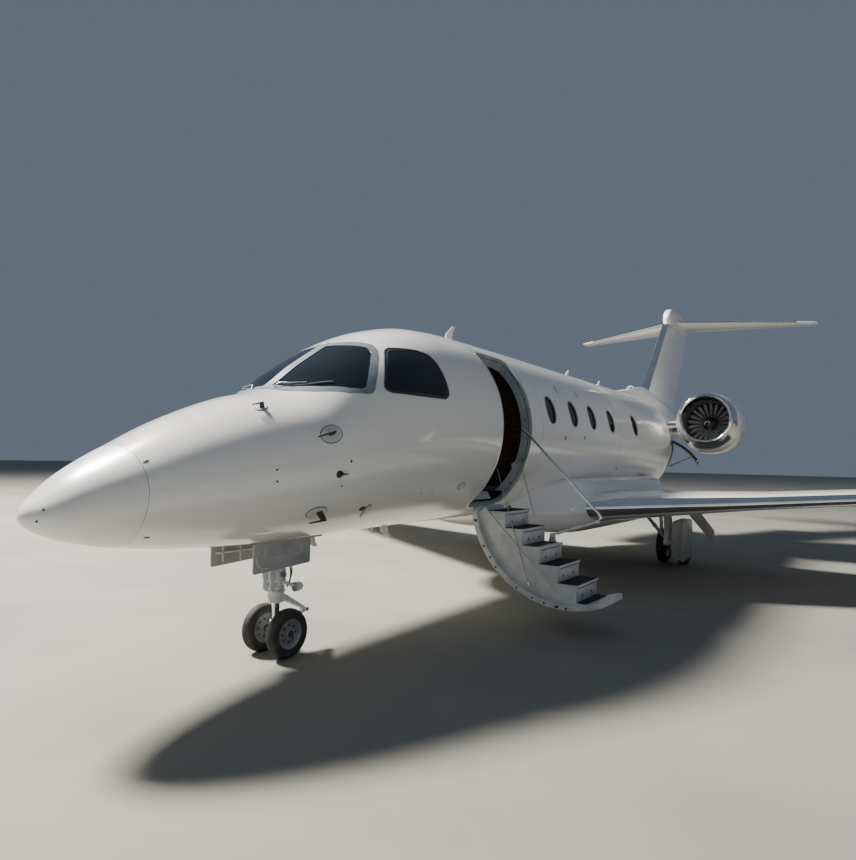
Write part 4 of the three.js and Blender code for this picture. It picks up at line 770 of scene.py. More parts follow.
stair = {
    "hinge": (0.715, 1.31), "swing": 119, "steps": 6, "nosing": (1.2, 1.298), "run": 0.22, "rise": 0.186,
    "depth": 0.25, "tread": 0.024, "from": 4.712, "to": 5.338, "plate": 0.026, "liner": 1.1197, "clear": 0.006,
    "grooves": (0.055, 0.068), "knuckles": (4.79, 5.025, 5.26), "barrel": 0.06, "lug": 0.026, "pin": 0.024,
    # distance from the cabin's axis and angle of a lug's corners, which stay clear of the closed door
    "lugOutline": [(1.125, -57.6), (1.19, -57.6), (1.221, -55.1), (1.241, -54.17), (1.221, -53.24), (1.196, -54.6),
        (1.186, -55.75), (1.125, -55.9)],
    # stations, y and z of the strut's room in the third tread
    "strutRoom": [(5.312, 1.585, 0.87), (5.27, 1.65, 0.935)],
    # angle on the closed door, distance in from its skin, radius of a hole
    "holes": [(-46.5, 0.034, 0.014), (-31, 0.03, 0.013), (-23.5, 0.034, 0.015), (-17, 0.024, 0.013),
        (0, 0.032, 0.012), (10.5, 0.03, 0.012), (18, 0.03, 0.013), (31, 0.028, 0.013)],
    "rings": [(-41.5, 0.032, 0.021), (14, 0.034, 0.021)], "latches": [(-47, 0.03), (25.5, 0.03)],
}
jamb = {"wide": 0.03, "inner": 1.03, "low": -51, "holes": [(39, 1.135), (31.5, 1.14), (20, 1.138), (-9, 1.135),
    (-20, 1.125), (-30, 1.13), (-38, 1.12), (44, 1.09), (6, 1.09)], "hole": 0.011}
rail = {
    "tube": 0.015, "strut": 0.012, "eye": 0.021, "station": 5.294, "eyeFrom": 5.281, "split": 5.307, "eyeTo": 5.337,
    "bend": 0.06, "foot": (1.51, 1.005), "joint": (2.08, 1.205),
    # station, y, z
    "route": [(5.31, 1.08, 2.31), (5.322, 1.17, 2.24), (5.323, 2.12, 1.262), (5.323, 2.08, 1.205)],
}
stays = {
    "thick": 0.009, "sag": 0.012,
    # upper and lower end: station, y, z
    "runs": [((4.7, 1.07, 1.81), (4.7, 1.505, 0.48)), ((5.345, 1.04, 1.93), (5.345, 1.28, 1.15))],
}


def openPoint(radius, angle):
    y, z = stair["hinge"]
    dy, dz = (a - b for a, b in zip(aboutAxis(radius, radians(angle)), stair["hinge"]))
    c, s = cos(radians(-stair["swing"])), sin(radians(-stair["swing"]))
    return y + dy * c - dz * s, z + dy * s + dz * c


def swing():
    y, z = stair["hinge"]
    place = placed((0, y, z))
    return place @ rolled(-stair["swing"]) @ place.inverted()


# A plate that stands across the fuselage, drawn as (y, z), from one station to another
def crossPlate(bm, outline, fore, to, soft=0.0, corner=0.0):
    return plate(bm, outline, to - fore, basis((noseTip - to, 0, 0), (0, 1, 0), (0, 0, 1)), soft, corner)


def sideBlock(bm, stations, ys, zs, soft=0.003):
    return block(bm, *(at(*corner) for corner in zip(stations[::-1], ys, zs)), soft)


def filleted(points, bend):
    steps = 7
    points = [Vector(p) for p in points]
    route = [points[0]]
    for before, corner, after in zip(points, points[1:], points[2:]):
        back, ahead = before - corner, after - corner
        reach = min(bend, back.length * 0.45, ahead.length * 0.45)
        a, b = corner + back.normalized() * reach, corner + ahead.normalized() * reach
        for i in range(steps + 1):
            t = i / steps
            route.append(a * (1 - t) ** 2 + corner * 2 * t * (1 - t) + b * t * t)
    return route + [points[-1]]


def makePanel():
    panel = layerPiece("airstair_panel", (4.55, 5.5), 2, 0, hull["wall"], [doorTool(stair["clear"], 0.9, 1.5)], [],
        ["whitePaint", "stairLight"], "airstair")
    marked(panel, lambda p: hypot(p.y, p.z - hull["waist"]) < hull["radius"] - 0.015)
    panel.data.transform(swing())
    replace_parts(panel, "airstair_door")

    y, z = stair["hinge"]
    bm = bmesh.new()
    edge = openPoint(hull["radius"] - hull["wall"] / 2, doorway["low"] + 2)
    for s in stair["knuckles"]:
        half = stair["barrel"] / 2
        arm = [(y - 0.006, z + 0.016), (y - 0.006, z - 0.016), (edge[0], edge[1] - 0.034),
            (edge[0] + 0.008, edge[1] + 0.01)]
        crossPlate(bm, arm, s - half, s + half, 0.003)
        bar(bm, at(s - half, y, z), at(s + half, y, z), stair["pin"], sides=28)
    keep(bm, "airstair_knuckles", "stairLight", "airstair")

    bm = bmesh.new()
    lug = [aboutAxis(radius, radians(angle)) for radius, angle in stair["lugOutline"]]
    for s in stair["knuckles"]:
        for side in (-1, 1):
            inner = s + side * (stair["barrel"] / 2 + 0.001)
            crossPlate(bm, lug, *sorted((inner, inner + side * stair["lug"])), 0.002)
    keep(bm, "airstair_lugs", "stairLight")


# Holes, rings and latches in the panel's forward edge
def makePanelDetails():
    s = doorway["from"] + stair["clear"]
    bm = bmesh.new()
    for angle, inward, radius in stair["holes"]:
        y, z = openPoint(hull["radius"] - inward, angle)
        bar(bm, at(s + 0.002, y, z), at(s - 0.001, y, z), radius)
    keep(bm, "airstair_holes", "darkTrim", "airstair")
    bm = bmesh.new()
    for angle, inward, radius in stair["rings"]:
        y, z = openPoint(hull["radius"] - inward, angle)
        profile = [(radius, -0.001), (radius + 0.0025, 0.001), (radius + 0.005, -0.001)]
        spun(bm, profile, at(s, y, z), (1, 0, 0), 32, closed=True)
    for angle, inward in stair["latches"]:
        y, z = openPoint(hull["radius"] - inward, angle)
        sideBlock(bm, (s - 0.0008, s + 0.001), (y - 0.024, y + 0.024), (z - 0.012, z + 0.012), 0.0003)
    keep(bm, "airstair_latches", "darkTrim", "airstair")


def stepAt(k):
    return stair["nosing"][0] + k * stair["run"], stair["nosing"][1] - k * stair["rise"]


def makeSteps():
    fore, to, thin = stair["from"], stair["to"], stair["plate"]
    outline = [openPoint(stair["liner"], doorway["low"] + 4 + i * 4.0875) for i in range(24)]
    for k in reversed(range(stair["steps"])):
        y, z = stepAt(k)
        if k < stair["steps"] - 1:
            outline += [(y - 0.02, z - stair["rise"] - 0.01), (y - 0.02, z - 0.01)]
        outline.append((y - stair["run"] - 0.02, z - 0.01))
    y, z = stair["nosing"]
    outline.append((y - stair["run"] - 0.06, z + 0.04))
    bm = bmesh.new()
    for a in (fore, to - thin):
        crossPlate(bm, outline, a, a + thin, 0.002, 0.006)
    piece = keep(bm, "airstair_sides", "stairLight", "airstair")
    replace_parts(piece, "airstair_steps")

    # Pressed grooves that follow the curve of both side plates, and the fold below the last treads
    runs = []
    for s in (fore, to):
        for inset in stair["grooves"]:
            runs.append(([at(s, *openPoint(stair["liner"] - inset, angle)) for angle in range(-44, 30, 3)], 0.0035))
        runs.append((filleted([at(s, 1.09, 1.25), at(s, 1.055, 1.05), at(s, 0.985, 0.97)], 0.05), 0.0025))
        runs.append((filleted([at(s, 1.53, 0.632), at(s, 1.70, 0.548), at(s, 1.863, 0.504), at(s, 2.04, 0.40)], 0.05),
            0.006))
    lines("airstair_grooves", runs, "stairLight", "airstair", smooth=False, sides=3)

    treads, risers, grips, slots, edges = (bmesh.new() for _ in range(5))
    inner = (fore + thin, to - thin)
    for k in range(stair["steps"]):
        y, z = stepAt(k)
        back = y - stair["depth"]
        sideBlock(treads, (fore, to), (back, y), (z - stair["tread"], z - 0.003), 0.003)
        sideBlock(grips, (fore + 0.007, to - 0.007), (back + 0.005, y - 0.007), (z - 0.006, z + 0.0005), 0.002)
        for i in range(9):
            ridge = back + 0.03 + i * 0.025
            sideBlock(grips, (fore + 0.03, to - 0.03), (ridge, ridge + 0.008), (z - 0.001, z + 0.0025), 0.001)
        bar(edges, at(fore + 0.001, y - 0.002, z - 0.004), at(to - 0.001, y - 0.002, z - 0.004), 0.0035, sides=10)
        if k < stair["steps"] - 1:
            low = z - stair["rise"]
            sideBlock(risers, inner, (y - 0.034, y - 0.018), (low, z - 0.02), 0.002)
            sideBlock(slots, (fore + 0.05, to - 0.05), (y - 0.019, y - 0.0165), (z - 0.046, z - 0.037), 0.001)
            for s in (fore + 0.17, to - 0.17):
                bar(slots, at(s, y - 0.019, low + 0.06), at(s, y - 0.0165, low + 0.06), 0.016)
    for bm, name, finish in ((treads, "treads", "stairLight"), (grips, "grips", "grip"),
            (edges, "nosings", "whitePaint")):
        carve(keep(bm, f"airstair_{name}", finish, "airstair"), boxTool(*(at(*p) for p in stair["strutRoom"])))
    keep(risers, "airstair_risers", "stairLight", "airstair")
    keep(slots, "airstair_slots", "darkTrim", "airstair")

    # The last tread's support rod and foot
    y, z = stepAt(stair["steps"] - 1)
    bm = bmesh.new()
    bar(bm, at(fore - 0.006, y - 0.2, z - 0.02), at(fore - 0.006, y - 0.012, z - 0.014), 0.008, sides=14)
    bar(bm, at(fore - 0.012, y - 0.012, z - 0.014), at(fore + 0.02, y - 0.012, z - 0.014), 0.012, sides=16)
    keep(bm, "airstair_foot", "chrome", "airstair")


def makeRail():
    points = filleted([at(*p) for p in rail["route"]], rail["bend"])
    piece = lines("handrail_tube", [(points, rail["tube"])], "chrome", "handrail", smooth=False, sides=8)
    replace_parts(piece, "handrail")
    y, z = rail["joint"]
    keep(bar(bmesh.new(), at(rail["split"] + 0.0005, y, z), at(rail["eyeTo"], y, z), rail["eye"], sides=28),
        "handrail_eye", "chrome", "handrail")

    ends = [at(rail["station"], *rail[key]) for key in ("foot", "joint")]
    bm = bmesh.new()
    bar(bm, *ends, rail["strut"])
    bar(bm, ends[0].lerp(ends[1], 0.13), ends[0].lerp(ends[1], 0.2), 0.019)
    bar(bm, ends[0].lerp(ends[1], 0.2), ends[0].lerp(ends[1], 0.62), 0.0155)
    bar(bm, ends[0].lerp(ends[1], 0.62), ends[0].lerp(ends[1], 0.645), 0.0175)
    for y, z in (rail["foot"], rail["joint"]):
        bar(bm, at(rail["eyeFrom"], y, z), at(rail["split"], y, z), rail["eye"], sides=28)
    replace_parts(keep(bm, "handrail_strut_dressed", "gearPaint", "handrail_strut"), "handrail_strut")

    y, z = rail["foot"]
    bm = bmesh.new()
    crossPlate(bm, [(y - 0.05, z - 0.1), (y + 0.05, z - 0.1), (y + 0.024, z + 0.022), (y - 0.024, z + 0.022)],
        rail["split"] + 0.0005, stair["to"], 0.002, 0.01)
    bar(bm, at(stair["to"], y, z), at(stair["to"] + 0.007, y, z), 0.012)
    keep(bm, "rail_bracket", "stairLight", "airstair")


def makeJamb():
    outer, inner, wide = hull["radius"] - hull["wall"] - 0.001, jamb["inner"], jamb["wide"]
    bm = bmesh.new()
    corners = ((0, outer), (-wide, outer), (-wide, inner), (0, inner))
    rings = [[bm.verts.new(p) for p in doorLoop(*where)] for where in corners]
    for ring, after in zip(rings, rings[1:] + rings[:1]):
        for i, vert in enumerate(ring):
            bm.faces.new((ring[i - 1], vert, after[i], after[i - 1]))
    bmesh.ops.recalc_face_normals(bm, faces=bm.faces)
    piece = keep(bm, "door_frame", "stairPaint")
    low = boxTool(at(5.6, 0.2, 0.9), at(4.4, 1.4, hull["waist"] + jamb["inner"] * sin(radians(jamb["low"]))))
    carve(piece, low)
    bm = bmesh.new()
    for angle, radius in jamb["holes"]:
        y, z = aboutAxis(radius, radians(angle))
        for s, way in ((doorway["to"], 1), (doorway["from"], -1)):
            bar(bm, at(s + way * 0.002, y, z), at(s - way * 0.0015, y, z), jamb["hole"])
    keep(bm, "door_frame_holes", "darkTrim")
    keep(bar(bmesh.new(), at(doorway["to"] + 0.001, 0.93, 1.84), at(doorway["to"] - 0.004, 0.93, 1.84), 0.036,
        sides=36), "door_frame_disc", "stairLight")

    # Seal and bright edge around the opening
    for name, radius, inset, finish, thick in (("door_seal", 1.135, 0.0005, "seal", 0.0035),
            ("door_edge", 1.1805, -0.004, "polishedSkin", 0.0035)):
        lines(name, [(doorLoop(inset, radius), thick)], finish, smooth=False, sides=3, loop=True)

    bm = bmesh.new()
    axes = basis(at(5.305, 0.655, 1.405), (1, 0, 0), (0, -0.055, 0.095))
    plate(bm, [(0, 0), (0.56, 0), (0.56, 0.108), (0, 0.108)], 0.008, axes, 0.002, 0.008)
    keep(bm, "door_sill", "stairLight")
    bm = bmesh.new()
    plate(bm, [(0.45 + 0.022 * cos(a * pi / 12), 0.055 + 0.022 * sin(a * pi / 12)) for a in range(24)], 0.011,
        axes @ placed((0, 0, -0.0015)))
    keep(bm, "door_sill_hole", "darkTrim")


def makeStays():
    for name, (top, foot) in zip(("fore", "aft"), stays["runs"]):
        a, b = at(*top), at(*foot)
        path = [a.lerp(b, i / 20) - Vector((0, 0, stays["sag"] * 4 * i / 20 * (1 - i / 20))) for i in range(21)]
        bm = bmesh.new()
        for p, q in zip(path, path[1:]):
            bar(bm, p, q + (q - p) * 0.05, stays["thick"] / 2, sides=10, soft=0.1)
        piece = keep(bm, f"stay_cable_{name}", "steel", "airstair")
        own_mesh(piece)
        keep(bar(bmesh.new(), b, b + (a - b).normalized() * 0.05, 0.0075, sides=16), f"stay_fork_{name}", "chrome",
            "airstair")


def makeAirstair():
    makePanel()
    makePanelDetails()
    makeSteps()
    makeRail()
    makeJamb()
    makeStays()
    print("airstair and door frame made")


# Wings, tail and fairings are lofted through the same rows as the solids

running = 0.006
wing = {
    # y, leading edge, chord, mid height, thickness ratio, cant of the section
    "rows": [(1.1, 6.848, 4.467, 1.205, 0.11, 0), (3.4, 8.063, 3.137, 1.371, 0.082, 0),
        (6.5, 9.699, 2.135, 1.6, 0.088, 0), (9.75, 11.42, 1.09, 1.84, 0.095, 4), (10.13, 11.66, 0.96, 1.905, 0.1, 30),
        (10.42, 11.92, 0.8, 2.14, 0.1, 62), (10.74, 12.64, 0.4, 3.08, 0.1, 74)],
    "straight": 3, "around": 100, "skin": 0.0015, "polished": (0.055, 0.035), "polishedTo": 9.9,
}
flap = {"root": 1.56, "tip": 6.15, "rootShare": 0.805, "tipShare": 0.745, "drop": 0.165, "reach": 1.4,
    "canoes": (2.75, 5.15)}
canoe = {
    # behind the hinge, half width, top and bottom above the hinge
    "fore": [(-0.62, 0.012, 0.1, 0.06), (-0.56, 0.032, 0.16, 0.0), (-0.43, 0.05, 0.16, -0.03),
        (-0.19, 0.06, 0.16, -0.052), (-0.066, 0.06, 0.16, -0.052)],
    "aft": [(-0.003, 0.058, 0.05, -0.05), (0.14, 0.058, 0.1, -0.05), (0.365, 0.046, 0.12, -0.012),
        (0.5, 0.026, 0.11, 0.03), (0.56, 0.008, 0.08, 0.06)],
}
aileron = {"root": 6.45, "tip": 9.35, "share": 0.74, "reach": 0.9}
finShape = {"heights": (3.15, 5.9), "ratio": 0.105, "lead": (14.43, 0.97, 3.99), "trail": (17.24, 0.665, 3.38),
    "polished": 0.05}
rudder = {"low": 3.66, "high": 5.56, "above": 0.038, "reach": 2.5, "station": (15.815, 0.84, 3.509)}
tailplane = {"rootLead": 17.01, "tipLead": 19.15, "rootChord": 1.79, "end": 19.69, "halfSpan": 3.53, "z": 6.08,
    "nearTip": 0.985, "rise": 0.025, "ratio": 0.1, "polished": 0.06}
elevator = {"from": (18.457, 0.38, 6.083), "to": (19.412, 3.38, 6.104), "nose": (0.052, 0.021), "reach": 0.9}
bullet = [
    # station, half width, bottom, top
    (16.5, 0.02, 5.99, 6.12), (16.58, 0.105, 5.86, 6.3), (16.76, 0.15, 5.8, 6.4), (17.1, 0.175, 5.8, 6.43),
    (17.9, 0.17, 5.83, 6.4), (18.7, 0.105, 5.9, 6.29), (19.25, 0.025, 6.04, 6.17),
]
dorsal = [
    # station, half width, top
    (11.0, 0.04, 3.486), (12.0, 0.09, 3.545), (13.0, 0.14, 3.68), (13.68, 0.165, 3.79), (14.3, 0.19, 3.8),
    (15.4, 0.23, 3.64), (16.8, 0.2, 3.42), (17.5, 0.12, 3.26),
]
ramInlet = {"from": 13.0, "to": 14.15, "z": (3.685, 3.675), "radius": 0.078}
belly = {
    # station, half width, side top, keel, corner height
    "rows": [(5.7, 0.5, 1.33, 1.085, 0.06), (6.2, 1.01, 1.42, 0.96, 0.13), (6.9, 1.29, 1.48, 0.838, 0.21),
        (7.8, 1.345, 1.5, 0.8, 0.24), (10.6, 1.345, 1.5, 0.8, 0.24), (11.6, 1.24, 1.46, 0.85, 0.22),
        (12.3, 0.96, 1.4, 0.985, 0.15), (12.9, 0.56, 1.34, 1.18, 0.06)],
    "widest": 1.345, "well": (10.72, 0.64, 0.395, 1.06),
}


def foilHalf(u):
    return 5 * (0.2969 * sqrt(u) - 0.126 * u - 0.3516 * u * u + 0.2843 * u ** 3 - 0.1015 * u ** 4)


# A point of an aerofoil section: the share of the chord, and the height over its middle
def foilPoint(u, chord, ratio):
    turn = min(u / 0.98, 1)
    share = (1 + cos(2 * pi * turn)) / 2
    high = ratio * chord * foilHalf(share) + wing["skin"] * chord * (1 - (1 - share) ** 30)
    if u > 0.98:
        return 1, high * ((u - 0.98) / 0.01 - 1)
    return share, high if turn < 0.5 else -high


def wingRow(v):
    rows = [Vector(row) for row in wing["rows"]]
    spot = v * (len(rows) - 1)
    i = min(int(spot), len(rows) - 2)
    if i < wing["straight"]:
        return rows[i].lerp(rows[i + 1], spot - i)
    return catmull(rows[wing["straight"]:], (spot - wing["straight"]) / (len(rows) - 1 - wing["straight"]))


def onWing(y, column):
    rows = wing["rows"]
    i = max(k for k in range(len(rows) - 1) if k == 0 or y > rows[k][0])
    a, b = rows[i], rows[i + 1]
    return a[column] + (b[column] - a[column]) * (y - a[0]) / (b[0] - a[0])


def mirrored(point, side):
    return Vector((point[0], point[1] * side, point[2]))


def hingeFrame(a, b):
    u = (b - a).normalized()
    aft = Vector((-1, 0, 0))
    aft = (aft - u * aft.dot(u)).normalized()
    return placed(a) @ Matrix((u, aft, u.cross(aft))).transposed().to_4x4(), (b - a).length


def hingeBlock(axes, us, vs):
    tall = 0.4
    return moved(boxTool((us[0], vs[0], -tall), (us[1], vs[1], tall)), axes)


# Two copies of one skin: what swings keeps the part behind the hinge and gets a rounded nose, what stays gets a cove
def splitOff(stays, swings, a, b, nose, reach, cove=True):
    axes, length = hingeFrame(a, b)
    source = bmesh.new()
    source.from_mesh(stays.data)
    source = skinCopy(source)
    carve(swings, hingeBlock(axes, (0, length), (running / 2, reach)), "INTERSECT")
    matchNormals(swings, source)
    carve(stays, hingeBlock(axes, (-running, length + running), (-running / 2, reach)))
    if cove:
        bm = bmesh.new()
        bar(bm, axes @ Vector((-running, 0, 0)), axes @ Vector((length + running, 0, 0)), nose[0] + running,
            nose[1] + running, sides=32, soft=0)
        carve(stays, bm)
    matchNormals(stays, source)
    source.free()
    if nose:
        low = axes @ Vector((0.002, 0, 0))
        high = axes @ Vector((length - 0.002, 0, 0))
        tube = bmesh.new()
        bar(tube, low, high, nose[0] * 0.985, nose[1] * 0.985, sides=32, soft=0.02)
        keep(tube, swings.name + "_nose", "whitePaint", swings["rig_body"], swings["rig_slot"], sharp=50)
    return axes, length


def paintLeading(piece, share, limits, reach=99.0):
    piece.data.materials.append(finishes["polishedSkin"])
    for face in piece.data.polygons:
        along, outward, upper = share(face.center)
        if along < limits[0 if upper else 1] and outward < reach:
            face.material_index = 1


def wingShare(p):
    y = min(abs(p.y), wing["rows"][-1][0])
    return (noseTip - p.x - onWing(y, 1)) / onWing(y, 2), abs(p.y), p.z > onWing(y, 3)


def hingeOnWing(y, share, drop, side):
    return mirrored(at(onWing(y, 1) + share * onWing(y, 2), y, onWing(y, 3) - drop), side)


# Half an outline, from its side to the middle, and the other half
def bothHalves(outline):
    return outline + [(-y, z) for y, z in reversed(outline[:-1])]


def canoeRing(centre, row, side):
    along, half, top, bottom = row
    bend = min(0.035, (top - bottom) * 0.4)
    outline = [(half, top), (half, bottom + bend), (half * 0.86, bottom + bend * 0.3), (half * 0.45, bottom),
        (0, bottom - 0.002)]
    return [centre + Vector((-along, y * side, z)) for y, z in bothHalves(outline) + [(0, top)]]


def makeWings():
    for title, side in bothSides:
        def place(u, v):
            y, lead, chord, z, ratio, cant = wingRow(v)
            share, high = foilPoint(u, chord, ratio)
            cant = radians(cant)
            return mirrored(at(lead + share * chord, y - high * sin(cant), z + high * cos(cant)), side)
        skin = mapped(wing["around"], 36, place)
        stays = keep(skin.copy(), f"wing_skin_{title}", "whitePaint", sharp=45)
        flapSkin = keep(skin.copy(), f"flap_skin_{title}", "whitePaint", f"flap_{title}", sharp=45)
        aileronSkin = keep(skin, f"aileron_skin_{title}", "whitePaint", f"aileron_{title}", sharp=45)
        a = hingeOnWing(flap["root"], flap["rootShare"], flap["drop"], side)
        b = hingeOnWing(flap["tip"], flap["tipShare"], flap["drop"], side)
        splitOff(stays, flapSkin, a, b, None, flap["reach"], cove=False)
        spots = [aileron["root"], aileron["tip"]]
        thick = [onWing(y, 2) * (onWing(y, 4) * foilHalf(aileron["share"]) + wing["skin"]) for y in spots]
        splitOff(stays, aileronSkin, *(hingeOnWing(y, aileron["share"], 0, side) for y in spots), thick,
            aileron["reach"])
        paintLeading(stays, wingShare, wing["polished"], wing["polishedTo"])
        for piece, node in ((stays, "wing"), (flapSkin, "flap"), (aileronSkin, "aileron")):
            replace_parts(piece, f"{node}_{title}")
        for k, y in enumerate(flap["canoes"]):
            centre = a.lerp(b, (y - flap["root"]) / (flap["tip"] - flap["root"]))
            for part, body in (("fore", "airframe"), ("aft", f"flap_{title}")):
                bm = lofted([canoeRing(centre, row, side) for row in canoe[part]], 40, 24)
                if part == "aft":
                    bar(bm, centre - Vector((0, 0.056, 0)), centre + Vector((0, 0.056, 0)), 0.048, sides=28, soft=0.3)
                keep(bm, f"canoe_{part}_{title}_{k + 1}", "whitePaint", body, "composite_white", sharp=45)
        makeWingDetails(title, side)
    print("wings made")


def makeWingDetails(title, side):
    bm = bmesh.new()
    for y in (9.3, 8.2, 7.1):
        p = hingeOnWing(y, 1, 0, side)
        bar(bm, p + Vector((0.03, 0, 0)), p - Vector((0.11, 0, 0)), 0.003, 0.0012, sides=8)
    keep(bm, f"static_wicks_{title}", "darkTrim", f"aileron_{title}")
    # Stall vanes below the leading edge, and the tip lamp
    bm = bmesh.new()
    for y in (3.55, 5.2, 6.9):
        p = hingeOnWing(y, 0.13, -onWing(y, 2) * onWing(y, 4) * foilHalf(0.13), side)
        outline = [(-0.05, -0.01), (0.05, -0.01), (0.022, 0.034), (-0.03, 0.034)]
        plate(bm, outline, 0.003, basis(p, (1, 0, 0), (0, 0, 1)), 0.001, 0.006)
    keep(bm, f"wing_vanes_{title}", "whitePaint")
    bm = bmesh.new()
    y = 10.02
    lead = hingeOnWing(y, 0.12, -0.03, side)
    block(bm, lead - Vector((0.1, 0.05, 0.012)), lead + Vector((0.1, 0.05, 0.012)), 0.01)
    keep(bm, f"tip_lamp_{title}", "redGlass" if side > 0 else "greenGlass")


def finAt(z, key):
    base, slope, zero = finShape[key]
    return base + slope * (z - zero)


def finLine(z):
    lead = finAt(z, "lead")
    return lead, finAt(z, "trail") - lead


def dorsalLoft(grow=0.0):
    rings = []
    for s, half, top in dorsal:
        h, t, c = half + grow, top + grow, crown(s)
        outline = [(h * 1.25, c - 0.15), (h * 1.15, c), (h, (c + t) / 2), (h * 0.62, t - 0.012), (0, t + 0.002)]
        rings.append([at(s, y, z) for y, z in bothHalves(outline) + [(0, c - 0.15)]])
    return lofted(rings, 48, 56)


def makeTail():
    bm = dorsalLoft()
    piece = keep(bm, "dorsal_skin", "whitePaint", "airframe", "composite_white", sharp=50)
    tube = bmesh.new()
    ends = [at(ramInlet[key], 0, z) for key, z in zip(("from", "to"), ramInlet["z"])]
    bar(tube, *ends, ramInlet["radius"], sides=40, soft=0)
    carve(piece, tube)
    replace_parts(piece, "dorsal_fairing")
    bm = bmesh.new()
    r = ramInlet["radius"]
    profile = [(r + 0.001, 0.3), (r + 0.001, 0.02), (r + 0.006, 0.002), (r + 0.014, 0), (r + 0.02, 0.012),
        (r + 0.022, 0.06), (r + 0.016, 0.3)]
    spun(bm, profile, at(13.2, 0, 3.684), (-1, 0, 0), 48, closed=True)
    keep(bm, "ram_inlet_ring", "whitePaint")

    def place(u, v):
        z = finShape["heights"][0] + (finShape["heights"][1] - finShape["heights"][0]) * v
        lead, chord = finLine(z)
        share, high = foilPoint(u, chord, finShape["ratio"])
        return at(lead + share * chord, high, z)
    skin = mapped(wing["around"], 22, place)
    fin = keep(skin.copy(), "fin_skin", "whitePaint", "airframe", "composite_white", sharp=45)
    rudderSkin = keep(skin, "rudder_skin", "whitePaint", "rudder", "composite_white", sharp=45)
    base, slope, zero = rudder["station"]
    spots = [at(base + slope * (z - zero), 0, z) for z in (rudder["low"], rudder["high"])]
    thick = []
    for p in spots:
        lead, chord = finLine(p.z)
        thick.append(chord * (finShape["ratio"] * foilHalf((noseTip - p.x - lead) / chord) + wing["skin"]))
    splitOff(fin, rudderSkin, *spots, thick, rudder["reach"])
    carve(rudderSkin, dorsalLoft(rudder["above"]))

    def finShare(p):
        lead, chord = finLine(p.z)
        return (noseTip - p.x - lead) / chord, 0, True
    paintLeading(fin, finShare, (finShape["polished"],) * 2)
    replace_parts(fin, "fin")
    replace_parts(rudderSkin, "rudder")

    t = tailplane

    def edges(y):
        part = min(abs(y) / t["halfSpan"], 1)
        full = 1 if part <= t["nearTip"] else 1 - 0.1 * (part - t["nearTip"]) / (1 - t["nearTip"])
        lead = t["rootLead"] + (t["tipLead"] - t["rootLead"]) * part
        nearLead = t["rootLead"] + (t["tipLead"] - t["rootLead"]) * t["nearTip"]
        chord = t["rootChord"] + (t["end"] - nearLead - t["rootChord"]) * part / t["nearTip"]
        return lead + (1 - full) * 0.5, chord * full - (1 - full) * 0.2, t["z"] + t["rise"] * part, full

    def placeTail(u, v):
        spot = 2 * v - 1
        y = copysign(1 - (1 - abs(spot)) ** 1.6, spot) * t["halfSpan"]
        lead, chord, z, full = edges(y)
        share, high = foilPoint(u, chord, t["ratio"] * full)
        return at(lead + share * chord, y, z + high)
    skin = mapped(wing["around"], 48, placeTail)
    plane = keep(skin.copy(), "tailplane_skin", "whitePaint", "airframe", "composite_white", sharp=45)
    for title, side in bothSides:
        piece = keep(skin.copy(), f"elevator_skin_{title}", "whitePaint", f"elevator_{title}", "composite_white",
            sharp=45)
        a, b = (mirrored(at(*elevator[key]), side) for key in ("from", "to"))
        splitOff(plane, piece, a, b, elevator["nose"], elevator["reach"])
        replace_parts(piece, f"elevator_{title}")
    skin.free()

    def tailShare(p):
        lead, chord, z, _ = edges(p.y)
        return (noseTip - p.x - lead) / chord, abs(p.y), p.z > z
    paintLeading(plane, tailShare, (t["polished"],) * 2, 3.0)
    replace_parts(plane, "stabilizer")

    rings = []
    for s, half, low, high in bullet:
        ring = []
        for k in range(24):
            c, d = cos(k * pi / 12), sin(k * pi / 12)
            ring.append(at(s, half * copysign(abs(c) ** 0.8, c),
                (low + high) / 2 + (high - low) / 2 * copysign(abs(d) ** 0.8, d)))
        rings.append(ring)
    keep(lofted(rings, 48, 48), "bullet_fairing", "whitePaint", "airframe", "composite_white", sharp=50)
    keep(bar(bmesh.new(), at(16.515, 0, 6.055), at(16.49, 0, 6.055), 0.028, 0.02, sides=24, soft=0.3), "bullet_lamp",
        "lampGlass")
    print("tail made")


def makeBelly():
    rings = []
    for s, w, top, bottom, c in belly["rows"]:
        outline = [(w * 0.8, top + 0.16), (w * 0.93, top), (w, top - 0.26 * (w / belly["widest"])),
            (w * 0.985, bottom + c * 1.25), (w * 0.93, bottom + c * 0.6), (w * 0.82, bottom + c * 0.22),
            (w * 0.62, bottom + c * 0.04), (w * 0.3, bottom), (0, bottom)]
        rings.append([at(s, y, z) for y, z in bothHalves(outline) + [(0, top + 0.16)]])
    bm = lofted(rings, 96, 72)
    source = skinCopy(bm)
    piece = keep(bm, "belly_skin", ["whitePaint", "lining"], "airframe", "composite_white", sharp=50)
    s, y, radius, top = belly["well"]
    tools = [hullBand(5.3, 13.6, 40, lift=-0.02, capped=True)]
    for side in (1, -1):
        tools.append(bar(bmesh.new(), at(s, y * side, 0.5), at(s, y * side, top), radius, sides=48, soft=0))
    carve(piece, joined(*tools))
    matchNormals(piece, source)
    source.free()
    marked(piece, lambda p: hypot(noseTip - p.x - s, abs(p.y) - y) < radius + 0.003 and p.z > 0.83)
    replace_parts(piece, "belly_fairing")
    print("belly fairing made")


# Engines

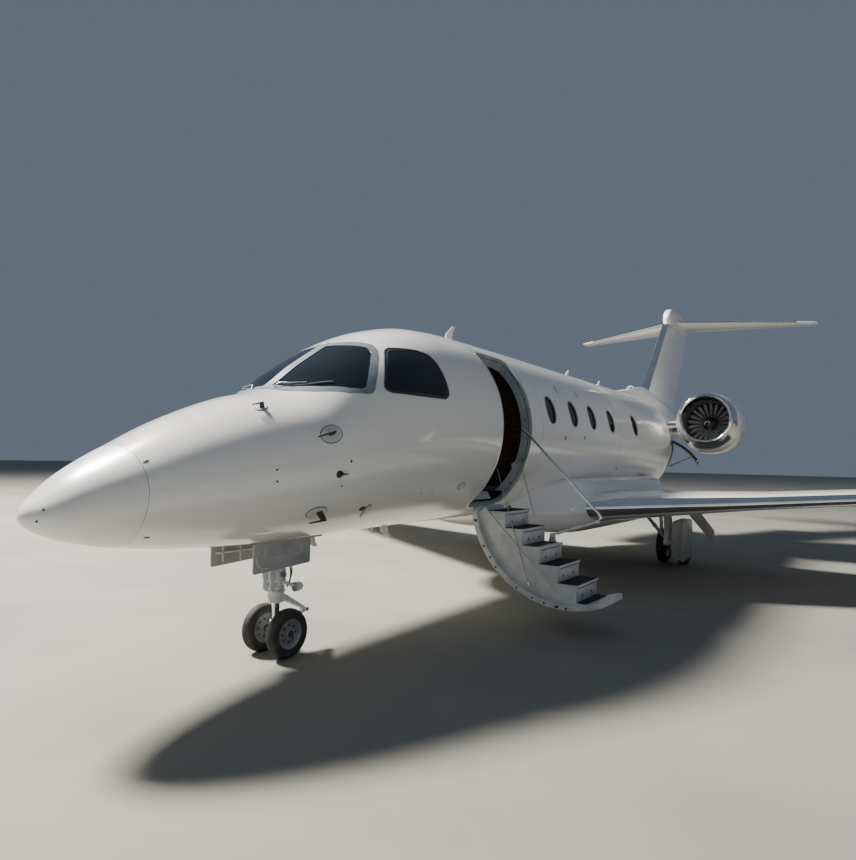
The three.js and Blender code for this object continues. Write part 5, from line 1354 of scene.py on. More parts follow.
engine = {
    "y": 1.917, "z": 2.79, "lip": 11.99, "lift": 0.085, "liftEnd": 12.66, "toe": 3,
    # radius, station
    "lipRing": [(0.45, 12.2297), (0.451, 12.15), (0.455, 12.08), (0.466, 12.018), (0.484, 11.993), (0.503, 11.999),
        (0.524, 12.025), (0.545, 12.065), (0.572, 12.14), (0.595, 12.2297)],
    "cowl": [(0.4505, 12.2305), (0.5, 12.2303), (0.595, 12.2303), (0.6, 12.245), (0.64, 12.48), (0.65, 12.85),
        (0.64, 13.3), (0.595, 13.9), (0.515, 14.6), (0.44, 15.296), (0.4325, 15.3), (0.425, 15.296), (0.47, 14.6),
        (0.52, 13.9), (0.52, 13.05), (0.472, 12.94), (0.468, 12.56)],
    "core": [(0, 12.945), (0.14, 12.945), (0.14, 13.06), (0.5197, 13.09), (0.5197, 13.9), (0.33, 14.45),
        (0.245, 15.24), (0.238, 15.24), (0.3, 14.5), (0.16, 14.6), (0, 14.6)],
    "cone": [(0.2, 14.7), (0.185, 15.0), (0.15, 15.24), (0.07, 15.46), (0, 15.6)],
    "hub": [(0, 12.44), (0.03, 12.455), (0.07, 12.51), (0.11, 12.61), (0.135, 12.7), (0.14, 12.75), (0.14, 12.9447),
        (0, 12.9447)],
    "fan": 12.82, "fanTip": 0.4555, "blades": 22, "chord": 0.088, "blade": 0.008, "twist": (30, 62),
    "vanes": 28, "pylonZ": 2.745, "pylonLead": 12.49, "pylonChord": 2.6, "pylonPolished": 0.05,
    "vane": {"station": 12.975, "long": 0.07, "thick": 0.004, "from": 0.13, "to": 0.467},
    # radius, station and thickness of the beads on the lip
    "beads": [("lip_bead", 0.466, 12.016, 0.009, "chrome"), ("lip_groove", 0.53, 12.034, 0.0045, "darkTrim")],
    # radius, start and end of the near-black painted shade inside the duct
    "duct": [(0.5, 11.9, 12.98), (0.53, 12.98, 13.95), (0.43, 13.9, 15.4)],
    # y, leading edge, chord, thickness ratio
    "pylon": [(0.55, 12.55, 2.57, 0.114), (1.33, 12.486, 2.634, 0.106)],
}


def smoothProfile(points, count):
    points = [Vector(p) for p in points]
    return [catmull(points, i / count) for i in range(count + 1)]


# Lifts the inlet, turns the engine outward and puts it on its side
def hang(bm, side, lifted=True):
    turn = placed((noseTip - engine["lip"], engine["y"], 0)) @ rolled(engine["toe"], "Z")
    turn = turn @ placed((engine["lip"] - noseTip, 0, 0))
    for v in bm.verts:
        if lifted:
            t = max(0, (engine["liftEnd"] - noseTip + v.co.x) / (engine["liftEnd"] - engine["lip"]))
            v.co.z += engine["lift"] * t * t
        v.co = mirrored(turn @ v.co, side)
    bmesh.ops.recalc_face_normals(bm, faces=bm.faces)
    return bm


def engineTurned(profile, closed=False, steps=96, rounding=0):
    return spun(bmesh.new(), profile, at(0, 0, engine["z"]), (-1, 0, 0), steps, closed, rounding)


def fanBlade(turn):
    rows, profile = 10, [(0.5, 0), (0.3, 0.42), (0, 0.5), (-0.3, 0.38), (-0.5, 0), (-0.3, -0.2), (0, -0.3),
        (0.3, -0.22)]
    rings = []
    for i in range(rows):
        t = i / (rows - 1)
        radius = 0.13 + (engine["fanTip"] - 0.13) * t
        angle = radians(engine["twist"][0] + (engine["twist"][1] - engine["twist"][0]) * t)
        chord = engine["chord"] * (0.62 + 0.38 * sin(pi * (0.25 + 0.55 * t)))
        ring = []
        for a, b in profile:
            along, across = a * chord + 0.012 * sin(pi * t), b * engine["blade"]
            ring.append(Vector((along * cos(angle) - across * sin(angle), along * sin(angle) + across * cos(angle),
                radius)))
        rings.append(ring)
    bm = lofted(rings, 16, 12)
    matrix = placed(at(engine["fan"], 0, engine["z"])) @ Matrix.Rotation(turn, 4, "X")
    return moved(bm, matrix)


def insideCowl(p):
    s = noseTip - p.x
    out = hypot(abs(p.y) - engine["y"] + (s - engine["lip"]) * sin(radians(engine["toe"])), p.z - engine["z"])
    return any(out < radius and start <= s < end for radius, start, end in engine["duct"])


def makeEngines():
    for title, side in bothSides:
        bm = hang(engineTurned(smoothProfile(engine["lipRing"], 36) + [Vector((0.5, 12.2297))], closed=True), side)
        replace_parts(keep(bm, f"inlet_lip_skin_{title}", "polishedSkin"), f"inlet_lip_{title}")
        for name, radius, station, thick, finish in engine["beads"]:
            ring = [(radius + thick * cos(k * pi / 4), station + thick * sin(k * pi / 4)) for k in range(8)]
            keep(hang(engineTurned(ring, closed=True), side), f"{name}_{title}", finish, "airframe", "polished_lip")
        outer = smoothProfile(engine["cowl"][3:10], 30)
        inner = smoothProfile(engine["cowl"][11:], 24)
        bm = hang(engineTurned([Vector(p) for p in engine["cowl"][:3]] + outer + [Vector(engine["cowl"][10])] + inner,
            closed=True), side)
        # the faces inside the duct get the near-black painted shade
        piece = keep(bm, f"nacelle_skin_{title}", ["cowlPaint", "ductPaintedShade"], sharp=40)
        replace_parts(marked(piece, insideCowl), f"nacelle_{title}")
        bm = engineTurned(engine["core"], steps=64, rounding=0.01)
        blend(bm, engineTurned([Vector((0, 14.7))] + smoothProfile(engine["cone"], 20), steps=64))
        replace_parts(keep(hang(bm, side, False), f"exhaust_core_{title}", "titanium"), f"engine_{title}")
        bm = bmesh.new()
        for k in range(engine["blades"]):
            blend(bm, fanBlade(2 * pi * k / engine["blades"]))
        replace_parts(keep(hang(bm, side, False), f"fan_blades_{title}", "bladeMetal", f"fan_{title}"), f"fan_{title}")
        bm = engineTurned(smoothProfile(engine["hub"][:6], 20) + [Vector(p) for p in engine["hub"][6:]], steps=48)
        keep(hang(bm, side, False), f"spinner_{title}", "darkTrim", f"fan_{title}", "fan_metal")
        bm = bmesh.new()
        arc = []
        for i in range(13):
            turn, radius = radians(20 + i * 15), 0.03 + 0.004 * i
            along = 12.455 + 0.55 * max(radius - 0.03, 0) * 1.35
            arc.append(at(along - 0.003, radius * cos(turn), engine["z"] + radius * sin(turn)))
        for p, q in zip(arc, arc[1:]):
            bar(bm, p, q, 0.006, sides=8)
        keep(hang(bm, side, False), f"spinner_mark_{title}", "whitePaint", f"fan_{title}")
        bm = bmesh.new()
        for k in range(engine["vanes"]):
            half, thin = engine["vane"]["long"] / 2, engine["vane"]["thick"] / 2
            vane = boxTool((-half, -thin, engine["vane"]["from"]), (half, thin, engine["vane"]["to"]))
            matrix = placed(at(engine["vane"]["station"], 0, engine["z"])) @ Matrix.Rotation(
                2 * pi * k / engine["vanes"], 4, "X")
            blend(bm, moved(vane, matrix))
        keep(hang(bm, side, False), f"stator_vanes_{title}", "titanium")

        def place(u, v):
            (y0, l0, c0, r0), (y1, l1, c1, r1) = engine["pylon"]
            chord = c0 + (c1 - c0) * v
            share, high = foilPoint(u, chord, r0 + (r1 - r0) * v)
            return mirrored(at(l0 + (l1 - l0) * v + share * chord, y0 + (y1 - y0) * v, engine["pylonZ"] + high), side)
        piece = keep(mapped(wing["around"], 6, place), f"pylon_skin_{title}", "whitePaint", sharp=45)
        paintLeading(piece, lambda p: ((noseTip - p.x - engine["pylonLead"]) / engine["pylonChord"], 0, True),
            (engine["pylonPolished"],) * 2)
        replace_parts(piece, f"pylon_{title}")
        makeCowlDetails(title, side)
    print("engines made")


# Ports, latches and seams of the cowling
def makeCowlDetails(title, side):
    def onCowl(s, angle, lift=0.0):
        radius = catmull([Vector(p) for p in engine["cowl"][3:10]], (s - 12.245) / 3.0).x + lift
        return at(s, radius * cos(angle), engine["z"] + radius * sin(angle))
    bm = bmesh.new()
    for s, angle, size in ((12.62, -62, 0.034), (13.2, -38, 0.016), (13.05, -84, 0.016)):
        p, q = onCowl(s, radians(angle), -0.004), onCowl(s, radians(angle), 0.0025)
        bar(bm, p, q, size, sides=24)
    keep(hang(bm, side), f"cowl_ports_{title}", "darkTrim")
    bm = bmesh.new()
    for s in (12.72, 13.62):
        ring = [onCowl(s, radians(a), 0.0002) for a in range(0, 360, 6)]
        for p, q in zip(ring, ring[1:] + ring[:1]):
            bar(bm, p, q, 0.0016, sides=5)
    for s in (12.9, 13.15, 13.4):
        a, b = onCowl(s - 0.05, radians(-88), 0), onCowl(s + 0.05, radians(-88), 0)
        bar(bm, a, b, 0.005, sides=8)
    keep(hang(bm, side), f"cowl_seams_{title}", "frameGrey")


# Wheels

wheels = {
    # station of the axle, y of its middle and distance from there to each wheel; radii, and half the tyre's width
    "nose": {"station": 2.307, "tracks": (0,), "half": 0.172, "radius": 0.229, "rim": 0.142, "wide": 0.057,
        "axle": 0.026, "grooves": (-0.024, -0.008, 0.008, 0.024), "groove": 0.0022, "bolts": 8},
    "main": {"station": 10.81, "tracks": (1.594, -1.594), "half": 0.182, "radius": 0.33, "rim": 0.205, "wide": 0.084,
        "axle": 0.042, "grooves": (-0.036, -0.012, 0.012, 0.036), "groove": 0.003, "bolts": 10},
}


def tyreProfile(w):
    mid = (w["radius"] + w["rim"]) / 2

    def outer(a):
        return mid + (w["radius"] - mid) * (1 - abs(a / w["wide"]) ** 2.6) ** 0.5
    crownEdge = 0.62 * w["wide"]
    points = []
    for g in w["grooves"]:
        n = w["groove"]
        points += [(outer(g - n), g - n), (w["radius"] - 0.006, g - n * 0.7), (w["radius"] - 0.006, g + n * 0.7),
            (outer(g + n), g + n)]
    side = [crownEdge + (w["wide"] - crownEdge) * sin(i * pi / 16) for i in range(9)]
    points += [(outer(a), a) for a in side]
    low = [(mid - (mid - w["rim"] + 0.004) * sin(i * pi / 20), w["wide"] * (1 - 0.2 * (i / 10) ** 2))
        for i in range(1, 11)]
    points += low + [(r, -a) for r, a in reversed(low)] + [(outer(a), -a) for a in reversed(side)]
    return points


def rimProfile(w):
    r, h, a = w["rim"], w["wide"], w["axle"]
    half = [(a, h * 0.9), (a * 1.5, h * 0.9), (a * 1.75, h * 0.82), (a * 1.85, h * 0.5), (a * 2.1, h * 0.4),
        (r * 0.76, h * 0.36), (r * 0.84, h * 0.46), (r * 0.9, h * 0.74), (r * 0.94, h * 0.8), (r * 1.035, h * 0.83),
        (r * 1.035, h * 0.76), (r * 0.985, h * 0.72)]
    return half + [(p, -q) for p, q in reversed(half)]


def makeWheels():
    for kind, w in wheels.items():
        for track in w["tracks"]:
            side = "left" if track > 0 else "right"
            body = "nose_wheels" if kind == "nose" else f"main_wheels_{side}"
            tag = kind if kind == "nose" else f"main_{side}"
            rims, holes, bolts, hubs = (bmesh.new() for _ in range(4))
            for way in (1, -1):
                centre = at(w["station"], track + way * w["half"], w["radius"])
                name = {1: "left", -1: "right"}[way]
                if kind == "main":
                    name = ("outer" if way * track > 0 else "inner") + "_" + side
                tyre = keep(spun(bmesh.new(), tyreProfile(w), centre, (0, 1, 0), 88, closed=True),
                    f"{kind}_tyre_{name}_tread", "rubber", body, "tyre", sharp=40)
                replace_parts(tyre, f"{kind}_tyre_{name}")
                spun(rims, rimProfile(w), centre, (0, 1, 0), 64, closed=True)
                for face in (1, -1):
                    level = face * w["wide"] * 0.37
                    for k in range(w["bolts"]):
                        for ring, (bm, radius, shift,
                                proud) in enumerate(((holes, 0.078, 0, 0.002), (bolts, 0.034, 0.5, 0.008))):
                            turn = 2 * pi * (k + shift) / w["bolts"]
                            out = w["rim"] * (0.57, 0.66)[ring]
                            p = centre + Vector((out * cos(turn), level, out * sin(turn)))
                            bar(bm, p, p + Vector((0, face * proud, 0)), w["rim"] * radius, sides=14)
                    p = centre + Vector((0, face * w["wide"] * 0.85, 0))
                    bar(hubs, p, p + Vector((0, face * w["wide"] * 0.16, 0)), w["axle"] * 1.35, w["axle"] * 1.15,
                        sides=32)
            a, b = (at(w["station"], track + way * (w["half"] - w["wide"]), w["radius"]) for way in (-1, 1))
            bar(rims, a, b, w["axle"], sides=32)
            node = f"main_rims_{side}" if kind == "main" else "nose_rims"
            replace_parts(keep(rims, f"{tag}_rims_dressed", "wheelPaint", body), node)
            keep(holes, f"{tag}_rim_holes", "darkTrim", body)
            keep(bolts, f"{tag}_rim_bolts", "steel", body)
            keep(hubs, f"{tag}_hub_caps", "darkTrim", body)
    print("wheels made")


# Nose gear

noseLeg = {
    "station": 2.307, "strut": 0.068, "head": 0.088, "inner": 0.042, "scissorApex": (2.699, 0.362),
    # forward and up, the lobed bracket at the front of the leg
    "bracket": [(-0.05, 0.62), (0.02, 0.6), (0.055, 0.64), (0.045, 0.7), (0.065, 0.76), (0.04, 0.84), (-0.05, 0.86)],
    # radius and distance along the lamp's cup and its glass
    "cup": [(0, 0.087), (0.03, 0.086), (0.041, 0.07), (0.046, 0.03), (0.0465, 0.0), (0.0435, 0.0), (0.04, 0.01),
        (0.026, 0.035), (0, 0.045)],
    "lens": [(0, -0.004), (0.02, -0.0025), (0.043, 0.002), (0.043, 0.005), (0, 0.004)],
    # distance behind the leg, y and z along each hose, and its radius
    "hoses": [([(0.03, 0.085, 0.93), (0.075, 0.1, 0.84), (0.085, 0.1, 0.72), (0.06, 0.085, 0.64)], 0.008),
        ([(0.01, 0.092, 0.96), (0.1, 0.09, 0.86), (0.115, 0.085, 0.76), (0.08, 0.075, 0.66)], 0.006),
        ([(-0.02, -0.09, 0.95), (0.06, -0.1, 0.85), (0.1, -0.09, 0.72), (0.07, -0.07, 0.65)], 0.007)],
}


def link(bm, a, b, wide, thick, across=(0, 1, 0)):
    a, b = Vector(a), Vector(b)
    along, across = (b - a).normalized(), Vector(across).normalized()
    matrix = basis(a, along, along.cross(across)) @ placed((0, 0, -thick / 2))
    length = (b - a).length
    outline = [(0, -wide[0] / 2), (length, -wide[1] / 2), (length, wide[1] / 2), (0, wide[0] / 2)]
    return plate(bm, outline, thick, matrix, 0.002, min(wide) * 0.3)


def ringOn(bm, centre, radius, wide, sides=40, axis=(0, 1, 0)):
    half = Vector(axis).normalized() * wide / 2
    return bar(bm, Vector(centre) - half, Vector(centre) + half, radius, sides=sides, soft=0.04)


def makeNoseGear():
    s = noseLeg["station"]
    bm = bmesh.new()
    bar(bm, at(s, 0, 0.619), at(s, 0, 1.42), noseLeg["strut"], sides=48, soft=0.05)
    bar(bm, at(s, 0, 0.7), at(s, 0, 0.9), noseLeg["head"] * 0.96, sides=48, soft=0.08)
    for z, radius, wide in ((0.635, 0.082, 0.03), (0.706, 0.092, 0.014), (0.8, 0.092, 0.01), (0.893, 0.092, 0.014),
            (1.0, 0.076, 0.02), (1.15, 0.074, 0.012)):
        ringOn(bm, at(s, 0, z), radius, wide, 48, axis=(0, 0, 1))
    bar(bm, at(s, -0.2715, 1.33), at(s, 0.2715, 1.33), 0.04, sides=32)
    for way in (1, -1):
        link(bm, at(s, way * 0.05, 0.93), at(s, way * 0.19, 1.32), (0.1, 0.06), 0.02, (1, 0, 0))
        # Bracket, and lugs for the drag brace
        plate(bm, noseLeg["bracket"], 0.016, basis(at(s - 0.07, way * 0.048 + 0.008, 0), (1, 0, 0), (0, 0, 1)), 0.002,
            0.014)
        plate(bm, [(-0.04, -0.05), (0.05, -0.03), (0.05, 0.03), (-0.04, 0.05)], 0.014,
            basis(at(s - 0.06, way * 0.05 + 0.007, 0.93), (1, 0, 0), (0, 0, 1)), 0.002, 0.02)
    bar(bm, at(s - 0.06, 0, 0.93), at(s - 0.43, 0, 1.4), 0.026, sides=24)
    bar(bm, at(s - 0.2, 0, 1.108), at(s - 0.3, 0, 1.235), 0.034, sides=24)
    for q in (at(s - 0.06, 0, 0.93), at(s - 0.43, 0, 1.4)):
        ringOn(bm, q, 0.04, 0.09, 28)
    bar(bm, at(s - 0.43, 0, 1.4), at(s - 0.43, 0, 1.5), 0.034, sides=24)
    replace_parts(keep(bm, "nose_leg_housing", "gearPaint", sharp=40), "nose_gear_leg")

    # Round side boss, steering ram, lamp and hoses
    bm = bmesh.new()
    for way in (1, -1):
        bar(bm, at(s + 0.004, way * 0.08, 0.765), at(s + 0.004, way * 0.104, 0.765), 0.034, sides=32)
        bar(bm, at(s + 0.004, way * 0.1, 0.765), at(s + 0.004, way * 0.111, 0.765), 0.012, sides=6)
        for z in (0.715, 0.885):
            for k in range(6):
                turn = radians(30 + 60 * k)
                q = at(s + 0.083 * cos(turn), 0.083 * sin(turn), z)
                bar(bm, q - Vector((0, 0, 0.012)), q + Vector((0, 0, 0.012)), 0.007, sides=6)
    bar(bm, at(s - 0.07, -0.09, 0.68), at(s + 0.06, -0.09, 0.68), 0.03, sides=28)
    bar(bm, at(s + 0.06, -0.09, 0.68), at(s + 0.1, -0.09, 0.68), 0.012, sides=18)
    keep(bm, "nose_leg_fittings", "steel")
    bm = bmesh.new()
    bar(bm, at(s + 0.02, 0.06, 0.69), at(s + 0.15, 0.12, 0.64), 0.018)
    lamp = at(s + 0.118, 0.128, 0.636)
    keep(spun(bm, noseLeg["cup"], lamp, (-1, 0, 0), 40), "nose_lamp_cup", "gearPaint", sharp=50)
    keep(spun(bmesh.new(), noseLeg["lens"], lamp, (-1, 0, 0), 40), "nose_lamp_glass", "lampGlass")
    runs = [([at(s + aft, y, z) for aft, y, z in route], radius) for route, radius in noseLeg["hoses"]]
    lines("nose_leg_hoses", runs, "rubber")

    bm = bmesh.new()
    bar(bm, at(s, 0, 0.5), at(s, 0, 0.617), 0.08, sides=48, soft=0.12)
    for z in (0.512, 0.558, 0.605):
        ringOn(bm, at(s, 0, z), 0.086, 0.012, 48, axis=(0, 0, 1))
    r = wheels["nose"]["radius"]
    ringOn(bm, at(s, 0, r), 0.056, 0.092, 40)
    bar(bm, at(s, 0, r), at(s, 0, 0.32), 0.052, 0.046, sides=32)
    ringOn(bm, at(s, 0, 0.32), 0.052, 0.02, 36, axis=(0, 0, 1))
    apex = noseLeg["scissorApex"]
    for foot, spread, wide in (((s + 0.06, 0.545), 0.05, 0.052), ((s + 0.03, 0.274), 0.046, 0.046)):
        for way in (1, -1):
            link(bm, at(foot[0], way * spread, foot[1]), at(apex[0] - 0.006, way * 0.015, apex[1]), (wide, 0.03),
                0.014)
        link(bm, at(foot[0], 0, foot[1]), at(foot[0] + 0.2, 0, foot[1] + (apex[1] - foot[1]) * 0.56), (0.02, 0.02),
            0.07)
        ringOn(bm, at(foot[0] + 0.004, 0, foot[1]), 0.024, 0.116, 24)
    ringOn(bm, at(*apex[:1], 0, apex[1]), 0.022, 0.058, 24)
    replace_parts(keep(bm, "nose_fork_housing", "gearPaint", "steered_nose_leg", sharp=40), "nose_gear_fork")
    keep(bar(bmesh.new(), at(s, 0, 0.3), at(s, 0, 0.515), noseLeg["inner"], sides=48, soft=0.02), "nose_leg_piston",
        "chrome", "steered_nose_leg")
    bm = bmesh.new()
    ringOn(bm, at(*apex[:1], 0, apex[1]), 0.0135, 0.064, 6)
    for way in (1, -1):
        ringOn(bm, at(s, way * 0.046, r), 0.034, 0.012, 8)
    keep(bm, "nose_fork_pins", "darkTrim", "steered_nose_leg")
    makeNoseDoors()
    print("nose gear made")


noseDoor = {
    "inner": 0.29, "outer": 0.306,
    "outline": [(2.44, 0.892), (1.79, 0.858), (1.776, 0.872), (1.776, 1.12), (2.446, 1.12), (2.446, 0.9)],
}


def makeNoseDoors():
    for title, side in bothSides:
        low = min(side * noseDoor["inner"], side * noseDoor["outer"])
        bm = plate(bmesh.new(), noseDoor["outline"], noseDoor["outer"] - noseDoor["inner"],
            basis(at(0, low, 0), (-1, 0, 0), (0, 0, 1)), 0.003, 0.03)
        piece = keep(bm, f"nose_door_panel_{title}", "gearDoorPaint")
        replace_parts(piece, f"nose_gear_door_{title}")
        # Inner ribs, hinge arms and the pale strip at the forward corner
        bm = bmesh.new()
        y = side * (noseDoor["inner"] - 0.008)
        for s in (1.9, 2.1, 2.3):
            block(bm, at(s + 0.009, y, 0.89), at(s - 0.009, y + side * 0.01, 1.1), 0.002)
            bar(bm, at(s, side * 0.283, 1.06), at(s, side * 0.25, 1.12), 0.012, sides=14)
        block(bm, at(2.4, y, 0.97), at(1.82, y + side * 0.01, 0.99), 0.002)
        keep(bm, f"nose_door_ribs_{title}", "gearPaint")
        y = side * (noseDoor["outer"] + 0.0005)
        runs = [([at(u, y, w) for u, w in ((1.8, 1.0), (1.82, 0.93), (1.87, 0.9), (1.95, 0.895))], 0.004),
            ([at(u, y, w) for u, w in ((1.9, 1.08), (1.9, 0.98), (2.33, 1.0), (2.33, 1.08))], 0.0015)]
        lines(f"nose_door_beads_{title}", runs, "gearPaint", smooth=False, sides=3)
    # Walls and pale edges of the wheel bay
    bm = bmesh.new()
    a, b, h = noseBay["from"], noseBay["to"], noseBay["half"]
    for low, high in ((at(b, h - 0.0005, 1.12), at(a, h + 0.012, 1.5)),
            (at(b, -h - 0.012, 1.12), at(a, -h + 0.0005, 1.5)), (at(a, -h, 1.12), at(a - 0.012, h, 1.5)),
            (at(b + 0.012, -h, 1.12), at(b, h, 1.5))):
        block(bm, low, high, 0.001)
    keep(bm, "nose_bay_walls", "lining")
    stations = [a + (b - a) * i / 12 for i in range(13)]
    runs = [([at(s, side * (h + 0.006), keelAt(s, h + 0.012) - 0.004) for s in stations], 0.007) for side in (1, -1)]
    lines("nose_bay_edges", runs, "whitePaint", smooth=False, sides=3)


def keelAt(s, y):
    return waist(s) - (waist(s) - keel(s)) * sqrt(max(0, 1 - (y / halfWidth(s)) ** 2))


# Main gear

mainLeg = {
    "y": 1.594, "head": (10.3, 1.42), "knee": (10.36, 0.44), "axle": 10.81,
    "door": [(10.9, 0.19), (10.12, 0.12), (10.08, 0.7), (10.16, 0.93), (10.86, 0.86), (10.93, 0.62)],
    "doorAt": (1.886, 1.91),
    # y and z of the door's forward flange, and its stations
    "flange": [(1.9, 0.14), (1.9, 0.93), (1.74, 0.86), (1.71, 0.6), (1.72, 0.2)], "flangeAt": (10.13, 10.145),
    # the angled plate inboard of the leg: aft and up from its own place
    "shield": [(-0.1, 0.2), (0.12, 0.26), (0.09, -0.16), (-0.04, -0.2)], "shieldAt": (10.2, 1.5, 0.8),
    # station, y from the leg and z along each hose, and its radius
    "hoses": [([(10.3, -0.09, 1.1), (10.38, -0.1, 0.8), (10.45, -0.09, 0.5), (10.62, -0.06, 0.4),
        (10.78, -0.05, 0.41)], 0.009), ([(10.27, -0.07, 1.1), (10.4, -0.11, 0.75), (10.5, -0.09, 0.47),
            (10.66, 0.05, 0.42), (10.79, 0.05, 0.41)], 0.008)],
}


def makeMainGear():
    m = mainLeg
    r = wheels["main"]["radius"]
    for title, side in bothSides:
        def p(s, y, z):
            return at(s, side * y, z)
        y = m["y"]
        bm = bmesh.new()
        head, knee = p(m["head"][0], y, m["head"][1]), p(m["knee"][0], y, m["knee"][1])
        bar(bm, head, knee, 0.078, 0.06, sides=40, soft=0.05)
        for t, radius, wide in ((0.35, 0.082, 0.03), (0.62, 0.077, 0.02), (0.9, 0.072, 0.03)):
            ringOn(bm, head.lerp(knee, t), radius, wide, 40, axis=knee - head)
        ringOn(bm, knee, 0.058, 0.14, 36)
        axle = p(m["axle"], y, r)
        bar(bm, knee, axle, 0.052, 0.05, sides=32)
        link(bm, knee.lerp(axle, 0.1), knee.lerp(axle, 0.9), (0.1, 0.085), 0.05)
        ringOn(bm, axle, 0.076, 0.132, 40)
        a, b, c = p(10.385, y, 1.06), p(10.59, y, 0.69), p(10.68, y, 0.4)
        bar(bm, a, b, 0.046, sides=32)
        ringOn(bm, a, 0.048, 0.08, 28)
        ringOn(bm, c, 0.04, 0.08, 28)
        a, braceTop = p(10.35, 1.564, 0.5), p(10.3, 1.15, 1.01)
        ringOn(bm, braceTop, 0.044, 0.08, 28, axis=(1, 0, 0))
        bar(bm, p(10.33, y, 0.76), p(10.33, 1.885, 0.8), 0.02)
        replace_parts(keep(bm, f"main_leg_housing_{title}", "gearPaint", sharp=40), f"main_gear_leg_{title}")
        keep(bar(bmesh.new(), b, c, 0.03, sides=32), f"main_leg_piston_{title}", "chrome")
        bm = bmesh.new()
        bar(bm, a, braceTop, 0.032, sides=28)
        bar(bm, a.lerp(braceTop, 0.45), a.lerp(braceTop, 0.55), 0.04, sides=28)
        for q in (knee, axle):
            ringOn(bm, q, 0.03, 0.15, 8)
        keep(bm, f"main_leg_brace_{title}", "steel")
        bm = bmesh.new()
        plate(bm, m["shield"], 0.008, basis(p(*m["shieldAt"]), (-1, 0, 0), (0, 0, 1)), 0.002, 0.02)
        keep(bm, f"main_leg_shield_{title}", "stairLight")
        runs = [([p(s, y + out, z) for s, out, z in route], radius) for route, radius in m["hoses"]]
        lines(f"main_leg_hoses_{title}", runs, "rubber")
        low = min(side * v for v in m["doorAt"])
        bm = plate(bmesh.new(), m["door"], m["doorAt"][1] - m["doorAt"][0],
            basis(at(0, low, 0), (-1, 0, 0), (0, 0, 1)), 0.004, 0.05, 5)
        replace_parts(keep(bm, f"main_door_panel_{title}", "gearDoorPaint"), f"main_gear_door_{title}")
        bm = bmesh.new()
        crossPlate(bm, [(side * y, z) for y, z in m["flange"]], *m["flangeAt"], 0.003, 0.03)
        keep(bm, f"main_door_flange_{title}", "gearDoorPaint")
        bm = bmesh.new()
        for z in (0.4, 0.62, 0.82):
            block(bm, p(10.8, m["doorAt"][0] - 0.012, z), p(10.22, m["doorAt"][0], z + 0.03), 0.003)
        keep(bm, f"main_door_ribs_{title}", "gearPaint")
    print("main gear made")


# Baggage door, and the bay behind it

def bayTurn():
    matrix, _ = bayFrame()
    return matrix @ rolled(-bayHinge["swing"]) @ matrix.inverted()


def makeBaggageDoor():
    piece = layerPiece("baggage_panel", (12.5, 13.8), 6, 0, 0.045, [bayTool(0.006)], [], ["whitePaint", "darkTrim"],
        "baggage_door")
    tree = BVHTree.FromBMesh(hullBand(12.4, 13.9, 6, lift=-0.045))
    marked(piece, lambda p: tree.find_nearest(p)[3] < 0.022)
    piece.data.transform(bayTurn())
    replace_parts(piece, "baggage_door")
    matrix, _ = bayFrame()
    bm = bmesh.new()
    for along in bayHinge["knuckles"]:
        a = matrix @ Vector((along - 0.03, 0, 0))
        b = matrix @ Vector((along + 0.03, 0, 0))
        bar(bm, a, b, 0.01)
    keep(bm, "baggage_knuckles", "steel", "baggage_door")
    bm = bmesh.new()
    foot = at(13.42, 0.86, 1.86)
    top = bayTurn() @ onHull(13.42, radians(-26), -0.05)
    bar(bm, foot, top, 0.011, sides=16)
    bar(bm, foot, foot.lerp(top, 0.55), 0.016, sides=16)
    keep(bm, "baggage_stay", "gearPaint")
    print("baggage door made")


# Seats and cockpit

seat = {
    "floor": 1.55, "pilot": {"rows": [(3.33, 1)], "side": 0.47, "half": 0.23},
    "cabin": {"rows": [(6.45, -1), (7.5, 1), (8.45, -1), (9.55, 1)], "side": 0.64, "half": 0.27},
}


# A crowned cushion: full in the middle, drawn in towards its seams
def cushion(bm, matrix, size, crowned=0.3):
    part = bmesh.new()
    bmesh.ops.create_cube(part, size=2)
    bmesh.ops.subdivide_edges(part, edges=part.edges[:], cuts=5, use_grid_fill=True)
    for v in part.verts:
        x, y, z = v.co
        full = (1 - abs(x) ** 3) * (1 - abs(y) ** 3)
        draw = 1 - 0.1 * z * z - 0.05 * (abs(x * y)) ** 2
        v.co = (x * draw * size[0] / 2, y * draw * size[1] / 2, z * (1 - crowned + crowned * full) * size[2] / 2)
    return blend(bm, moved(part, matrix))


